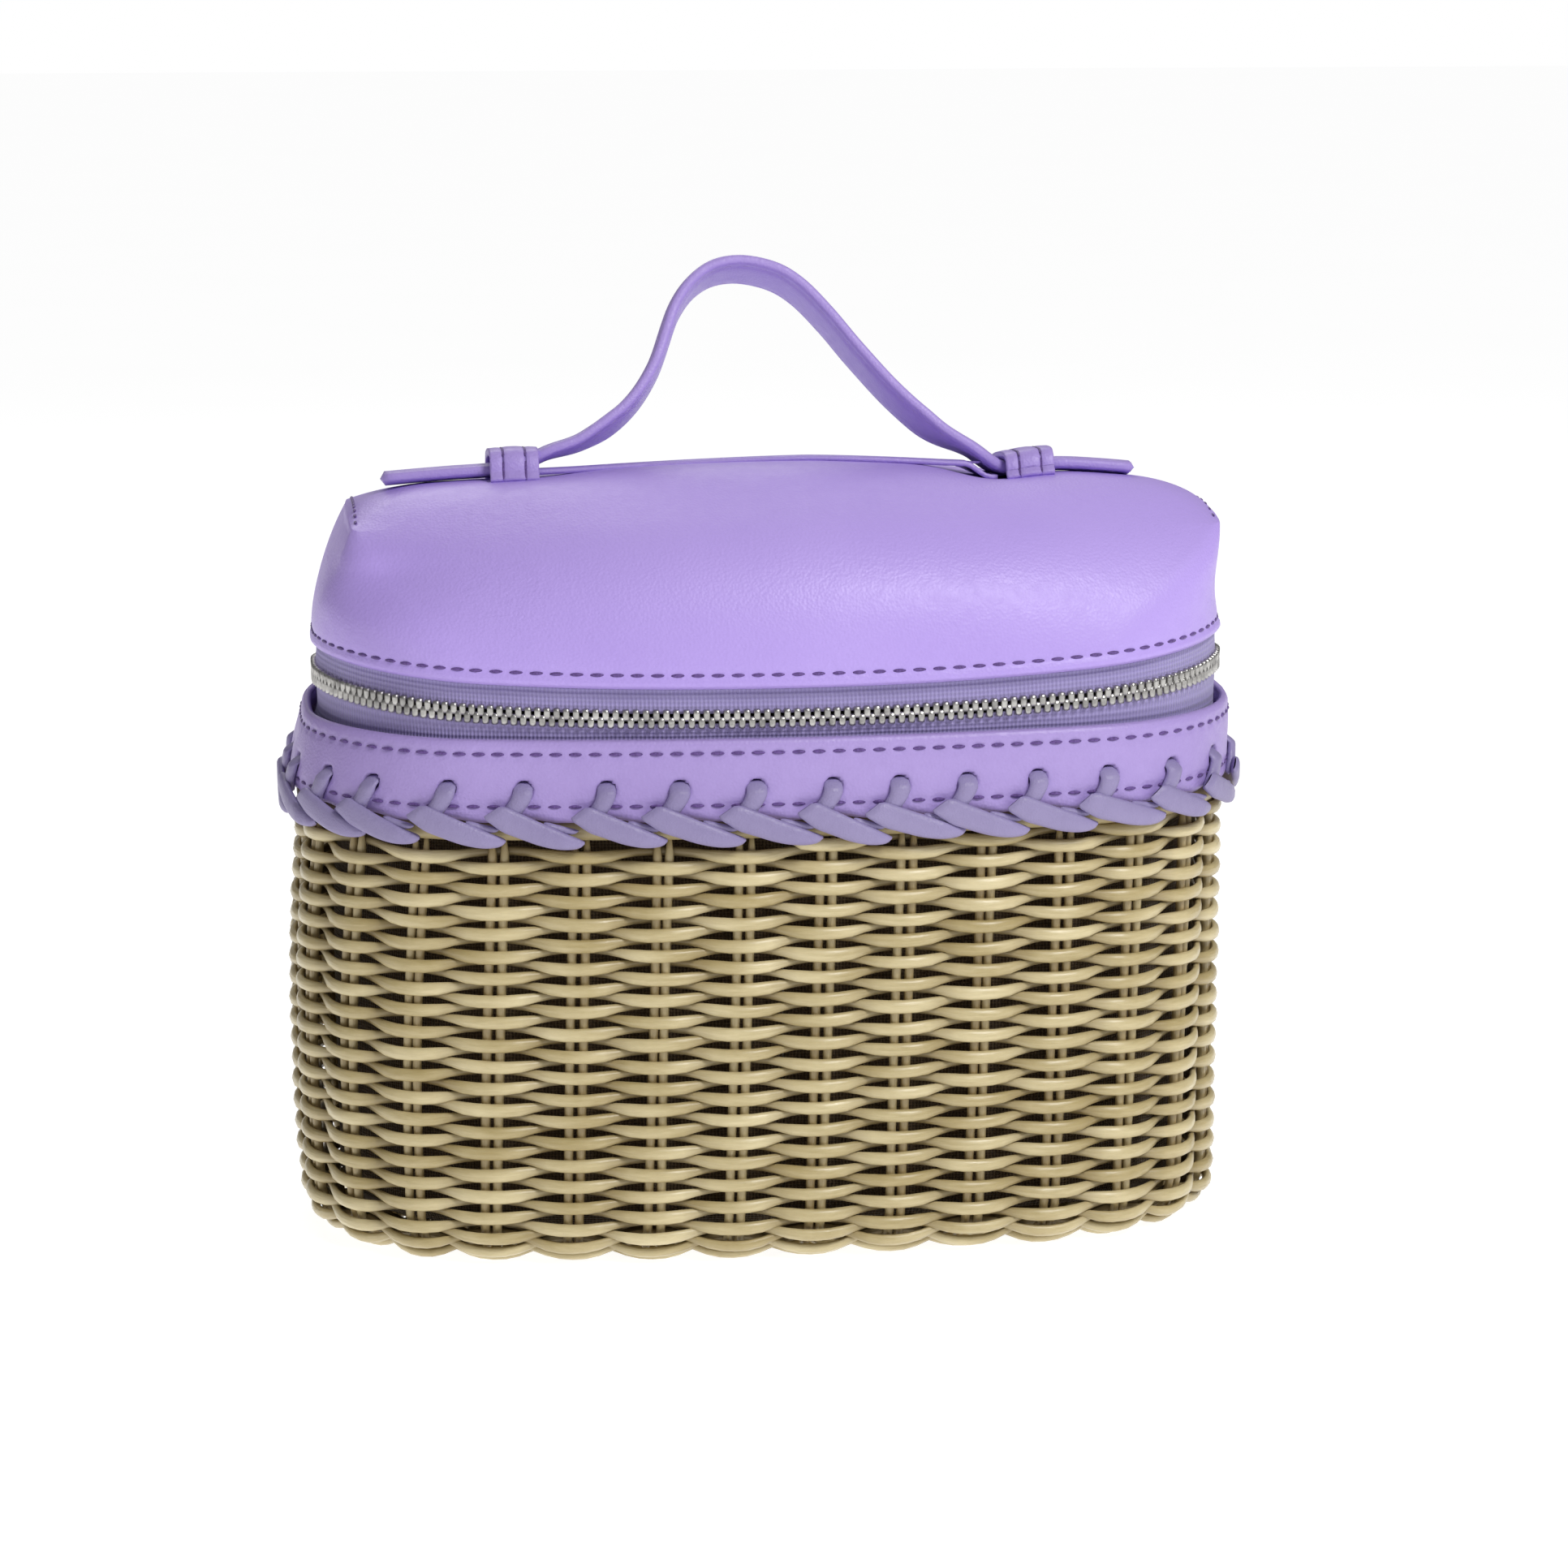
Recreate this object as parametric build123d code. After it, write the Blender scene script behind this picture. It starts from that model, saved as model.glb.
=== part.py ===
from build123d import *
import math
import os

# Small wicker box bag with a zipped soft leather lid and a strap handle.
# Millimetres. +X to the bag's right, -Y to its front, +Z up.
# Origin: middle of the bag's footprint, on the surface it stands on.

# ---- driving dimensions ----
LENGTH = 203.0            # over the wicker wall, left to right
DEPTH = 110.0             # over the wicker wall, front to back
CORNER_RADIUS = 43.0      # upright corners of the wall
FRONT_RADIUS = 420.0      # slight bow of the front and back
END_RADIUS = 300.0        # slight bow of the two ends

BASKET_HEIGHT = 92.2      # wicker wall, up to the rim hoop
BASKET_WALL = 4.6
BASKET_FLOOR = 5.0
BASKET_FOOT_FILLET = 8.0
HOOP_HEIGHT = 4.4

LACED_GAP = 2.1           # open gap between hoop and collar, crossed by the lacing
COLLAR_HEIGHT = 15.3
COLLAR_STAND = 0.6        # how far the collar stands out past the wicker
COLLAR_THICKNESS = 2.3

ZIP_ABOVE_COLLAR = 4.7    # from the collar's top to the zip's middle line
TOOTH_HEIGHT = 2.7        # one row, from its tape to the middle line
TOOTH_WIDTH = 1.3
TOOTH_DEPTH = 2.6
TOOTH_PITCH = 2.2         # near this, so that the last tooth ends with its tape
TAPE_THICKNESS = 0.8
TAPE_INSET = 2.0          # outer face of the tape, inside the wall's outline
TAPE_HIDDEN = 6.0         # tape sewn in behind the collar and the lid's hem
ZIP_END_TURN = 62.0       # degrees round each rear corner where the zip stops

HEM_ABOVE_ZIP = 6.5       # from the zip's middle line to the lid's hem
LID_HEIGHT = 41.0         # from the hem to the crest
LID_LEATHER = 1.7
LID_SHOULDER = 13.0       # rounding between the lid's walls and its top
LID_DOME_ACROSS = 105.0   # radius of the top, front to back
LID_DOME_ALONG = 900.0    # radius of the top, left to right
LINING_THICKNESS = 0.8
LINING_DROP = 4.3         # from the collar's top to the lining's edge
LID_LINING_THICKNESS = 0.6

LACE_COUNT = 34
LACE_WIDTH = 4.5
LACE_THICKNESS = 3.0      # the doubled thong outside the collar
LACE_INNER_THICKNESS = 1.5
LACE_HOLE_INSET = 4.5     # above the collar's lower edge
LACE_HOLE_RADIUS = 1.8
LACE_PEG_RADIUS = 1.2
LACE_SLANT = 8.0          # sideways run of each stitch
NOTCH_WIDTH = 5.4
NOTCH_DEPTH = 3.8

STRAP_WIDTH = 16.0
STRAP_THICKNESS = 3.2
STRAP_TAIL_LENGTH = 24.0
HANDLE_HALF_SPAN = 50.0
HANDLE_RISE = 45.0
HANDLE_AXIS_RISE = 1.5    # of the line the arch tilts on, above the crest
HANDLE_LEAN = 30.0        # degrees, backward, at rest
HANDLE_SWING = 50.0       # degrees each way from upright
HANDLE_NECK = 1.6         # width where the strap turns at the keepers

KEEPER_X = 57.0
KEEPER_LENGTH = 10.5
KEEPER_THICKNESS = 1.6
KEEPER_FOOT = 5.0
BASE_STRIP_HALF = 38.5
BASE_STRIP_WIDTH = 18.0
BASE_STRIP_THICKNESS = 1.2

SLIDER_LENGTH = 11.0
SLIDER_HEIGHT = 8.6
SLIDER_PLATE = 1.0
SLIDER_WEB = 0.3          # thin web between the rows, in place of the wedge
BAIL_RISE = 3.4
BAIL_THICKNESS = 1.2
BAIL_WIDTH = 2.2
PULL_LENGTH = 21.0
PULL_WIDTH = 6.4
PULL_THICKNESS = 1.2

STRIP_THICKNESS = 1.4     # leather strip that hinges the lid at the back
STRIP_LAP = 5.8           # of the strip on the collar

# ---- named clearances ----
LAYER_GAP = 0.3           # between two curved layers that lie together
HALF_GAP = 0.3            # each row of teeth, short of the middle line
CLASP_GAP = 0.15          # between a tooth and the tape that it clasps
PLAY = 0.4                # between parts that move past each other
SLIDER_PLAY = 0.7         # the straight slider on the curved chain

# ---- sizes that follow ----
HALF_LENGTH = LENGTH / 2
HALF_DEPTH = DEPTH / 2
COLLAR_BOTTOM = BASKET_HEIGHT + LAYER_GAP + HOOP_HEIGHT + LACED_GAP
COLLAR_TOP = COLLAR_BOTTOM + COLLAR_HEIGHT
ZIP_LEVEL = COLLAR_TOP + ZIP_ABOVE_COLLAR
LID_HEM = ZIP_LEVEL + HEM_ABOVE_ZIP
LID_CREST = LID_HEM + LID_HEIGHT
LACE_HOLE_LEVEL = COLLAR_BOTTOM + LACE_HOLE_INSET
STRIP_BOTTOM = COLLAR_TOP - STRIP_LAP
COLLAR_IN = COLLAR_STAND - COLLAR_THICKNESS
TAPE_IN = -TAPE_INSET - TAPE_THICKNESS
TOOTH_MIDDLE = -TAPE_INSET - TAPE_THICKNESS / 2
LACE_OUT = COLLAR_STAND + LAYER_GAP
LACE_REACH = (LACE_SLANT + LACE_WIDTH) / 2
LACE_BULGE = LACE_REACH**2 / (2 * (CORNER_RADIUS - BASKET_WALL))   # flat stitch in a round corner
LACE_IN = -BASKET_WALL - LAYER_GAP - LACE_BULGE
NOTCH_LEVEL = BASKET_HEIGHT - NOTCH_DEPTH / 2
LINING_OUT = LACE_IN - LACE_INNER_THICKNESS - LAYER_GAP
LINING_TOP = COLLAR_TOP - LINING_DROP
AXIS_LEVEL = LID_CREST + HANDLE_AXIS_RISE


def circle_meet(first, first_radius, second, second_radius):
    """The point where two circles about first and second meet, on the +X side."""
    gap = math.dist(first, second)
    along = (first_radius**2 - second_radius**2 + gap**2) / (2 * gap)
    aside = math.sqrt(first_radius**2 - along**2)
    unit = ((second[0] - first[0]) / gap, (second[1] - first[1]) / gap)
    foot = (first[0] + unit[0] * along, first[1] + unit[1] * along)
    options = [(foot[0] - s * unit[1] * aside, foot[1] + s * unit[0] * aside) for s in (1, -1)]
    return max(options)


def outline_arcs():
    """The wall's outline seen from above, as arcs (centre, radius, start, turn), counter-clockwise
    from the middle of the front, in degrees."""
    front = (0.0, FRONT_RADIUS - HALF_DEPTH)
    end = (HALF_LENGTH - END_RADIUS, 0.0)
    corner = circle_meet(front, FRONT_RADIUS - CORNER_RADIUS, end, END_RADIUS - CORNER_RADIUS)
    front_turn = math.degrees(math.atan2(corner[0] - front[0], front[1] - corner[1]))
    end_turn = math.degrees(math.atan2(-corner[1], corner[0] - end[0]))
    corner_turn = 90 - front_turn - end_turn
    cx, cy = corner[0], -corner[1]
    return [
        (front, FRONT_RADIUS, -90, front_turn),
        ((cx, -cy), CORNER_RADIUS, -90 + front_turn, corner_turn),
        (end, END_RADIUS, -end_turn, 2 * end_turn),
        ((cx, cy), CORNER_RADIUS, end_turn, corner_turn),
        ((0.0, -front[1]), FRONT_RADIUS, 90 - front_turn, 2 * front_turn),
        ((-cx, cy), CORNER_RADIUS, 90 + front_turn, corner_turn),
        ((-end[0], 0.0), END_RADIUS, 180 - end_turn, 2 * end_turn),
        ((-cx, -cy), CORNER_RADIUS, 180 + end_turn, corner_turn),
        (front, FRONT_RADIUS, 270 - front_turn, front_turn),
    ]


ARCS = outline_arcs()
ARC_LENGTHS = [radius * math.radians(turn) for _, radius, _, turn in ARCS]
AROUND = sum(ARC_LENGTHS)
ZIP_HALF = sum(ARC_LENGTHS[:3]) + CORNER_RADIUS * math.radians(ZIP_END_TURN)
SLIDER_SEAT = ZIP_HALF - SLIDER_LENGTH / 2 - PLAY
UPPER_END = SLIDER_SEAT - SLIDER_LENGTH / 2 - PLAY


def arc_point(arc, angle, grow):
    centre, radius, _, _ = arc
    reach = radius + grow
    x = centre[0] + reach * math.cos(math.radians(angle))
    y = centre[1] + reach * math.sin(math.radians(angle))
    return (x, y)


def arc_edge(arc, grow, start, turn):
    points = [arc_point(arc, start + turn * share, grow) for share in (0, 0.5, 1)]
    return ThreePointArc(*points)


def outline(grow):
    """The closed outline of the wall, moved outward by grow, as a face on the XY plane."""
    edges = [arc_edge(arc, grow, arc[2], arc[3]) for arc in ARCS]
    return make_face(Wire(edges))


def slab(grow, bottom, top):
    return Pos(0, 0, bottom) * extrude(outline(grow), top - bottom)


def ring(outer, inner, bottom, top):
    """A band that follows the outline, between two offsets and two heights."""
    return slab(outer, bottom, top) - slab(inner, bottom, top)


def seat(distance):
    """Frame at a distance along the outline from the middle of the front, positive to +X:
    X along the wall, Y up, Z outward."""
    left = distance % AROUND
    for arc, length in zip(ARCS, ARC_LENGTHS):
        if left <= length:
            break
        left -= length
    angle = arc[2] + math.degrees(left / arc[1])
    x, y = arc_point(arc, angle, 0)
    out = (math.cos(math.radians(angle)), math.sin(math.radians(angle)), 0)
    along = (-out[1], out[0], 0)
    return Plane(origin=(x, y, 0), x_dir=along, z_dir=out).location


def brick(low, high):
    """A block between two corners."""
    size = [b - a for a, b in zip(low, high)]
    middle = [(a + b) / 2 for a, b in zip(low, high)]
    return Pos(*middle) * Box(*size)


def run_band(outer, inner, bottom, top, start, end):
    """A ring band kept only between two distances along the outline."""
    first = run_edges(outer, start, end)
    last = run_edges(inner, start, end)
    low = Line(first[0] @ 0, last[0] @ 0)
    high = Line(first[-1] @ 1, last[-1] @ 1)
    face = make_face(Wire([*first, high, *last, low]))
    return Pos(0, 0, bottom) * extrude(face, top - bottom)


def run_edges(grow, start, end):
    """The arcs of the outline between two distances, start below end."""
    edges = []
    begin = start - (start // AROUND) * AROUND
    stop = begin + end - start
    done = 0.0
    for _ in range(2):
        for arc, length in zip(ARCS, ARC_LENGTHS):
            low = max(begin, done)
            high = min(stop, done + length)
            if high - low > 1e-6:
                angle = arc[2] + math.degrees((low - done) / arc[1])
                turn = math.degrees((high - low) / arc[1])
                edges.append(arc_edge(arc, grow, angle, turn))
            done += length
    return edges


# ---- lacing places ----
LACE_PITCH = AROUND / LACE_COUNT
LACE_SEATS = [LACE_PITCH * (k + 0.5) for k in range(LACE_COUNT)]
PEG_SHIFT = LACE_SLANT / 2


def basket():
    """Wicker box, open at the top, notched under the hoop for the lacing."""
    body = slab(0, 0, BASKET_HEIGHT)
    body = fillet(body.faces().sort_by(Axis.Z)[0].edges(), BASKET_FOOT_FILLET)
    body -= slab(-BASKET_WALL, BASKET_FLOOR, BASKET_HEIGHT + 1)
    reach = BASKET_WALL + 2
    notch = brick((PEG_SHIFT - NOTCH_WIDTH / 2, BASKET_HEIGHT - NOTCH_DEPTH, -reach),
                  (PEG_SHIFT + NOTCH_WIDTH / 2, BASKET_HEIGHT + 1, 2))
    return body - [seat(s) * notch for s in LACE_SEATS]


def hoop():
    """Cane hoop that closes the top of the weave."""
    bottom = BASKET_HEIGHT + LAYER_GAP
    return ring(0, -BASKET_WALL, bottom, bottom + HOOP_HEIGHT)


def collar():
    """Leather band between the hoop and the zip, with a row of punched holes."""
    band = ring(COLLAR_STAND, COLLAR_IN, COLLAR_BOTTOM, COLLAR_TOP)
    punch = Pos(-PEG_SHIFT, LACE_HOLE_LEVEL, 0) * Cylinder(LACE_HOLE_RADIUS, 4 * COLLAR_THICKNESS)
    return band - [seat(s) * punch for s in LACE_SEATS]


def lace_strap(thickness, out, side):
    """One flat length of thong, slanting from the hole to the notch."""
    top = Vector(-PEG_SHIFT, LACE_HOLE_LEVEL)
    foot = Vector(side * PEG_SHIFT, NOTCH_LEVEL)
    middle = (top + foot) / 2
    angle = math.degrees(math.atan2(foot.Y - top.Y, foot.X - top.X))
    run = (foot - top).length
    flat = Pos(middle.X, middle.Y) * (Rot(0, 0, angle) * SlotCenterToCenter(run, LACE_WIDTH - 1))
    return Pos(0, 0, out) * extrude(flat, thickness)


def lacing():
    """The thong's stitches, each through a hole in the collar and a notch under the hoop."""
    far = LACE_IN - LACE_INNER_THICKNESS
    near = LACE_OUT + LACE_THICKNESS
    stitch = lace_strap(LACE_THICKNESS, LACE_OUT, 1)
    stitch += lace_strap(LACE_INNER_THICKNESS, far, 1)
    through = Pos(0, 0, (near + far) / 2) * Cylinder(LACE_PEG_RADIUS, near - far)
    stitch += Pos(-PEG_SHIFT, LACE_HOLE_LEVEL, 0) * through
    stitch += Pos(PEG_SHIFT, NOTCH_LEVEL, 0) * through
    return Compound(children=[seat(s) * stitch for s in LACE_SEATS])


def basket_lining():
    """Cloth pouch inside the basket, turned out at the top to meet the zip tape."""
    floor = BASKET_FLOOR + LAYER_GAP
    pouch = slab(LINING_OUT, floor, LINING_TOP)
    pouch -= slab(LINING_OUT - LINING_THICKNESS, floor + LINING_THICKNESS, LINING_TOP + 1)
    flange = ring(TAPE_IN - LAYER_GAP, LINING_OUT - LINING_THICKNESS / 2,
                  LINING_TOP - LINING_THICKNESS, LINING_TOP)
    return pouch + flange


def tape(bottom, top, end):
    return run_band(-TAPE_INSET, TAPE_IN, bottom, top, -ZIP_HALF, end)


def zip_tape_lower():
    top = ZIP_LEVEL - TOOTH_HEIGHT / 2
    return tape(COLLAR_TOP - TAPE_HIDDEN, top, ZIP_HALF)


def zip_tape_upper():
    bottom = ZIP_LEVEL + TOOTH_HEIGHT / 2
    return tape(bottom, LID_HEM + TAPE_HIDDEN, UPPER_END)


def teeth(side, end):
    """One row of metal teeth: side is 1 above the middle line and -1 below it. Each tooth clasps
    its tape's edge, so its foot is open where the tape runs."""
    low, high = HALF_GAP, HALF_GAP + TOOTH_HEIGHT
    depth = TOOTH_DEPTH / 2
    slot = TAPE_THICKNESS / 2 + CLASP_GAP
    tooth = brick((-TOOTH_WIDTH / 2, low, -depth), (TOOTH_WIDTH / 2, high, depth))
    reach = TOOTH_HEIGHT / 2 - CLASP_GAP
    tooth -= brick((-TOOTH_WIDTH, reach, -slot), (TOOTH_WIDTH, high + 1, slot))
    if side < 0:
        tooth = mirror(tooth, Plane.XZ)
    tooth = Pos(0, ZIP_LEVEL, TOOTH_MIDDLE) * tooth
    run = ZIP_HALF + end
    count = round(run / TOOTH_PITCH)
    pitch = run / count
    return Compound(children=[seat(pitch * (k + 0.5) - ZIP_HALF) * tooth for k in range(count)])


def lid_form(inset, bottom):
    """The lid's soft loaf shape as one solid, moved inward by inset on every side."""
    walls = slab(-inset, bottom, LID_CREST + LID_SHOULDER)
    across = LID_DOME_ACROSS - inset
    along = LID_DOME_ALONG - inset
    crest = LID_CREST - inset
    rise = HALF_DEPTH + 8
    side = math.sqrt(across**2 - rise**2)
    centre = crest - across
    cut = Plane.YZ * make_face(Wire([
        Line((-rise, centre + side), (-rise, 0)),
        Line((-rise, 0), (rise, 0)),
        Line((rise, 0), (rise, centre + side)),
        ThreePointArc((rise, centre + side), (0, crest), (-rise, centre + side)),
    ]))
    spin = Axis((0, 0, crest - along), (0, 1, 0))
    span = math.degrees(math.asin((HALF_LENGTH + 12) / along))
    dome = revolve(cut.rotate(spin, -span), spin, 2 * span)
    form = walls & dome
    top_face = form.faces().sort_by(Axis.Z)[-1]
    return fillet(top_face.edges(), LID_SHOULDER - inset)


def lid_cover():
    return lid_form(0, LID_HEM) - lid_form(LID_LEATHER, LID_HEM - 1)


def lid_lining():
    outer = TAPE_INSET + TAPE_THICKNESS + LAYER_GAP
    inner = outer + LID_LINING_THICKNESS
    return lid_form(outer, LID_HEM) - lid_form(inner, LID_HEM - 1)


def on_lid(low, high, x0, x1, width):
    """A layer that lies on the lid's top between two heights above its surface."""
    block = brick((x0, -width / 2, LID_CREST - 15), (x1, width / 2, LID_CREST + 20))
    return block & (lid_form(-high, LID_HEM) - lid_form(-low, LID_HEM))


def handle_base():
    """Flat strip sewn to the lid below the handle."""
    low = LAYER_GAP
    return on_lid(low, low + BASE_STRIP_THICKNESS, -BASE_STRIP_HALF, BASE_STRIP_HALF, BASE_STRIP_WIDTH)


def strap_tail(side):
    """The strap's end beyond the arch: it runs under its keeper and lies on the lid."""
    near = HANDLE_HALF_SPAN + PLAY
    far = near + KEEPER_LENGTH + STRAP_TAIL_LENGTH - STRAP_THICKNESS
    x0, x1 = sorted((side * near, side * far))
    return on_lid(LAYER_GAP, LAYER_GAP + STRAP_THICKNESS, x0, x1, STRAP_WIDTH)


def keeper(side):
    """Leather loop sewn to the lid on both sides of the strap's end."""
    low = LAYER_GAP
    inside = LAYER_GAP + STRAP_THICKNESS + PLAY
    half = KEEPER_LENGTH / 2
    x0, x1 = side * KEEPER_X - half, side * KEEPER_X + half
    wide = STRAP_WIDTH + 2 * (PLAY + KEEPER_THICKNESS)
    loop = on_lid(low, inside + KEEPER_THICKNESS, x0, x1, wide)
    loop -= on_lid(low - 1, inside, x0 - 1, x1 + 1, STRAP_WIDTH + 2 * PLAY)
    foot = on_lid(low, low + KEEPER_THICKNESS, x0, x1, wide + 2 * KEEPER_FOOT)
    foot -= on_lid(low - 1, inside, x0 - 1, x1 + 1, STRAP_WIDTH + 2 * PLAY)
    return loop + foot


def arch_band():
    """Side view of the strap's arch, in its own upright plane, from keeper to keeper."""
    span, rise, half = HANDLE_HALF_SPAN, HANDLE_RISE, STRAP_THICKNESS / 2
    middle = Spline(
        (-span, 0), (-0.62 * span, 0.24 * rise), (-0.37 * span, 0.71 * rise), (-0.1 * span, rise),
        (0.17 * span, 0.88 * rise), (0.42 * span, 0.55 * rise), (0.7 * span, 0.2 * rise), (span, 0),
        tangents=((1, 0.12), (1, -0.12)))
    steps = 14
    sides = []
    for way in (1, -1):
        points = []
        for k in range(steps + 1):
            tangent = middle % (k / steps)
            normal = Vector(-tangent.Y, tangent.X)
            points.append((middle @ (k / steps)) + normal * half * way)
        sides.append(Spline(*points))
    top, under = sides
    return make_face(Wire([top, Line(top @ 1, under @ 1), under, Line(under @ 0, top @ 0)]))


def handle_strap():
    """Flat leather strap, arched between the keepers. Its feet are cut narrow, to leave room for
    the twist that the real strap takes up there."""
    band = extrude(Plane.XZ * arch_band(), STRAP_WIDTH / 2, both=True)
    neck, wide = HANDLE_NECK / 2, STRAP_WIDTH / 2
    low = -STRAP_THICKNESS
    climb = (wide - neck) * math.tan(math.radians(HANDLE_SWING))
    wedge = Polyline((-neck, low), (neck, low), (neck, 0), (wide, climb), (wide, 2 * HANDLE_RISE),
                     (-wide, 2 * HANDLE_RISE), (-wide, climb), (-neck, 0), close=True)
    trim = extrude(Plane.YZ * make_face(wedge), 2 * HANDLE_HALF_SPAN, both=True)
    shape = band & trim
    return Pos(0, 0, AXIS_LEVEL) * (Rot(-HANDLE_LEAN, 0, 0) * shape)


def hinge_strip():
    """Leather strip round the back between the zip's ends, up to the fold that the lid turns on."""
    low = COLLAR_STAND + LAYER_GAP
    end = AROUND - ZIP_HALF
    return run_band(low + STRIP_THICKNESS, low, STRIP_BOTTOM, ZIP_LEVEL, ZIP_HALF, end)


def slider_plates():
    """How far the slider's outer plate reaches, outward from the chain's middle."""
    return TOOTH_DEPTH / 2 + SLIDER_PLAY + SLIDER_PLATE


def zip_slider():
    """Slider at the closed end: two plates joined by a web, and a bail for the pull."""
    half, tall = SLIDER_LENGTH / 2, SLIDER_HEIGHT / 2
    face = slider_plates()
    under = face - SLIDER_PLATE
    body = brick((-half, -tall, under), (half, tall, face))
    body += brick((-half, -tall, -face), (half, tall, -under))
    corners = [e for e in body.edges().filter_by(Axis.Z)]
    body = fillet(corners, SLIDER_HEIGHT / 5)
    body += brick((-half + 1, -SLIDER_WEB / 2, -face + SLIDER_PLATE / 2),
                  (half - 1, SLIDER_WEB / 2, face - SLIDER_PLATE / 2))
    top, reach, wide = face + BAIL_RISE, half - 1.2, BAIL_WIDTH / 2
    bail = brick((-reach, -wide, face - SLIDER_PLATE / 2), (reach, wide, top))
    bail -= brick((-reach + BAIL_THICKNESS, -2 * wide, face),
                  (reach - BAIL_THICKNESS, 2 * wide, top - BAIL_THICKNESS))
    return seat(SLIDER_SEAT) * (Pos(0, ZIP_LEVEL, TOOTH_MIDDLE) * (body + bail))


def zip_pull():
    """Plain flat pull, lying along the chain towards the front. Its end bar turns in the bail and
    its window clears the bail's foot."""
    level = TOOTH_MIDDLE + slider_plates() + (BAIL_RISE - BAIL_THICKNESS) / 2
    bar = PULL_THICKNESS / 2
    window_end = SLIDER_LENGTH / 2 - 1.2 + 3 * PLAY
    outline_face = RectangleRounded(PULL_LENGTH, PULL_WIDTH, PULL_WIDTH / 4)
    plate = Pos(bar - PULL_LENGTH / 2, 0, -bar) * extrude(outline_face, PULL_THICKNESS)
    clear = BAIL_WIDTH / 2 + PLAY
    window = brick((-window_end, -clear, -1), (-bar, clear, 1))
    return seat(SLIDER_SEAT) * (Pos(0, ZIP_LEVEL, level) * (plate - window))


PARTS = {
    "basket": basket,
    "basket_rim_hoop": hoop,
    "basket_lining": basket_lining,
    "collar": collar,
    "lacing": lacing,
    "zip_tape_lower": zip_tape_lower,
    "zip_teeth_lower": lambda: teeth(-1, ZIP_HALF),
    "hinge_strip": hinge_strip,
    "zip_slider": zip_slider,
    "zip_pull": zip_pull,
    "zip_tape_upper": zip_tape_upper,
    "zip_teeth_upper": lambda: teeth(1, UPPER_END),
    "lid_cover": lid_cover,
    "lid_lining": lid_lining,
    "handle_base_strip": handle_base,
    "keeper_left": lambda: keeper(-1),
    "keeper_right": lambda: keeper(1),
    "handle_strap_ends": lambda: Compound(children=[strap_tail(-1), strap_tail(1)]),
    "handle_strap": handle_strap,
}

os.makedirs("parts", exist_ok=True)
for name, make in PARTS.items():
    export_step(make(), f"parts/{name}.step")
    print(name)
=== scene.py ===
# %% [markdown]
# # A wicker box bag with a zipped leather lid
# The bag is a box of cane woven over paired stakes, with a soft leather lid that zips open
# on three sides. A leather collar is laced to the top of the cane with a flat thong, and a
# strap handle is held on the lid by two sewn keepers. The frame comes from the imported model.
# This script only makes the looks, and each piece goes where the frame says.

# %% Load the frame
import math

import bpy
import numpy as np
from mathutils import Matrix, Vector


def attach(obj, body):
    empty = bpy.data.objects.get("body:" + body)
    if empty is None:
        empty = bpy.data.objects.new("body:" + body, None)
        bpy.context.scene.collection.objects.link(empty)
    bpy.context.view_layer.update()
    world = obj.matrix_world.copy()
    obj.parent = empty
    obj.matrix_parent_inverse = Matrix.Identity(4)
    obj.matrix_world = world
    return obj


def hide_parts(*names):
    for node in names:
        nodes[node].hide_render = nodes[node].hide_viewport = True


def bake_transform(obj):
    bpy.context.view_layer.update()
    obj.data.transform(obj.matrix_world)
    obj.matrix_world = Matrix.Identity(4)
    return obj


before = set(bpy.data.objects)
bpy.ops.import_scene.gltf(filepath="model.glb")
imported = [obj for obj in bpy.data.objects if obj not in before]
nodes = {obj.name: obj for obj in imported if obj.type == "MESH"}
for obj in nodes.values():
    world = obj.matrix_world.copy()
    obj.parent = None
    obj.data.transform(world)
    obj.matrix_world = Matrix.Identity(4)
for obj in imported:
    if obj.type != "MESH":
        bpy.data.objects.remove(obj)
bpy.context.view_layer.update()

# %% [markdown]
# ## The bag's outline
# Seen from above, the wall is a rounded rectangle of nine arcs that meet smoothly. Nearly
# every piece follows it, so one function gives the point at any distance round the wall and
# any distance outward. Sizes are in millimetres here and become metres when a mesh is made.

# %% The outline as arcs
MM, PI = 0.001, math.pi
HALF_LENGTH = 101.5
HALF_DEPTH = 55.0
CORNER, FRONT_BOW, END_BOW = 43.0, 420.0, 300.0  # the arcs' radii


def outline_arcs(half_length, half_depth, corner):
    """Arcs from the middle of the front, counter-clockwise: centre x, y, radius, start, turn."""
    front, end = FRONT_BOW, END_BOW
    front_y, end_x = front - half_depth, half_length - end
    gap = math.hypot(end_x, front_y)
    along = ((front - corner) ** 2 - (end - corner) ** 2 + gap**2) / (2 * gap)
    aside = math.sqrt((front - corner) ** 2 - along**2)
    to_x, to_y = end_x / gap, -front_y / gap
    x, y = max((to_x * along - way * to_y * aside, front_y + to_y * along + way * to_x * aside)
               for way in (1, -1))
    front_turn = math.atan2(x, front_y - y)
    end_turn = math.atan2(-y, x - end_x)
    right = PI / 2
    turn = right - front_turn - end_turn
    return np.array([
        (0, front_y, front, -right, front_turn),
        (x, y, corner, -right + front_turn, turn),
        (end_x, 0, end, -end_turn, 2 * end_turn),
        (x, -y, corner, end_turn, turn),
        (0, -front_y, front, right - front_turn, 2 * front_turn),
        (-x, -y, corner, right + front_turn, turn),
        (-end_x, 0, end, 2 * right - end_turn, 2 * end_turn),
        (-x, y, corner, 2 * right + end_turn, turn),
        (0, front_y, front, 3 * right - front_turn, front_turn),
    ])


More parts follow.
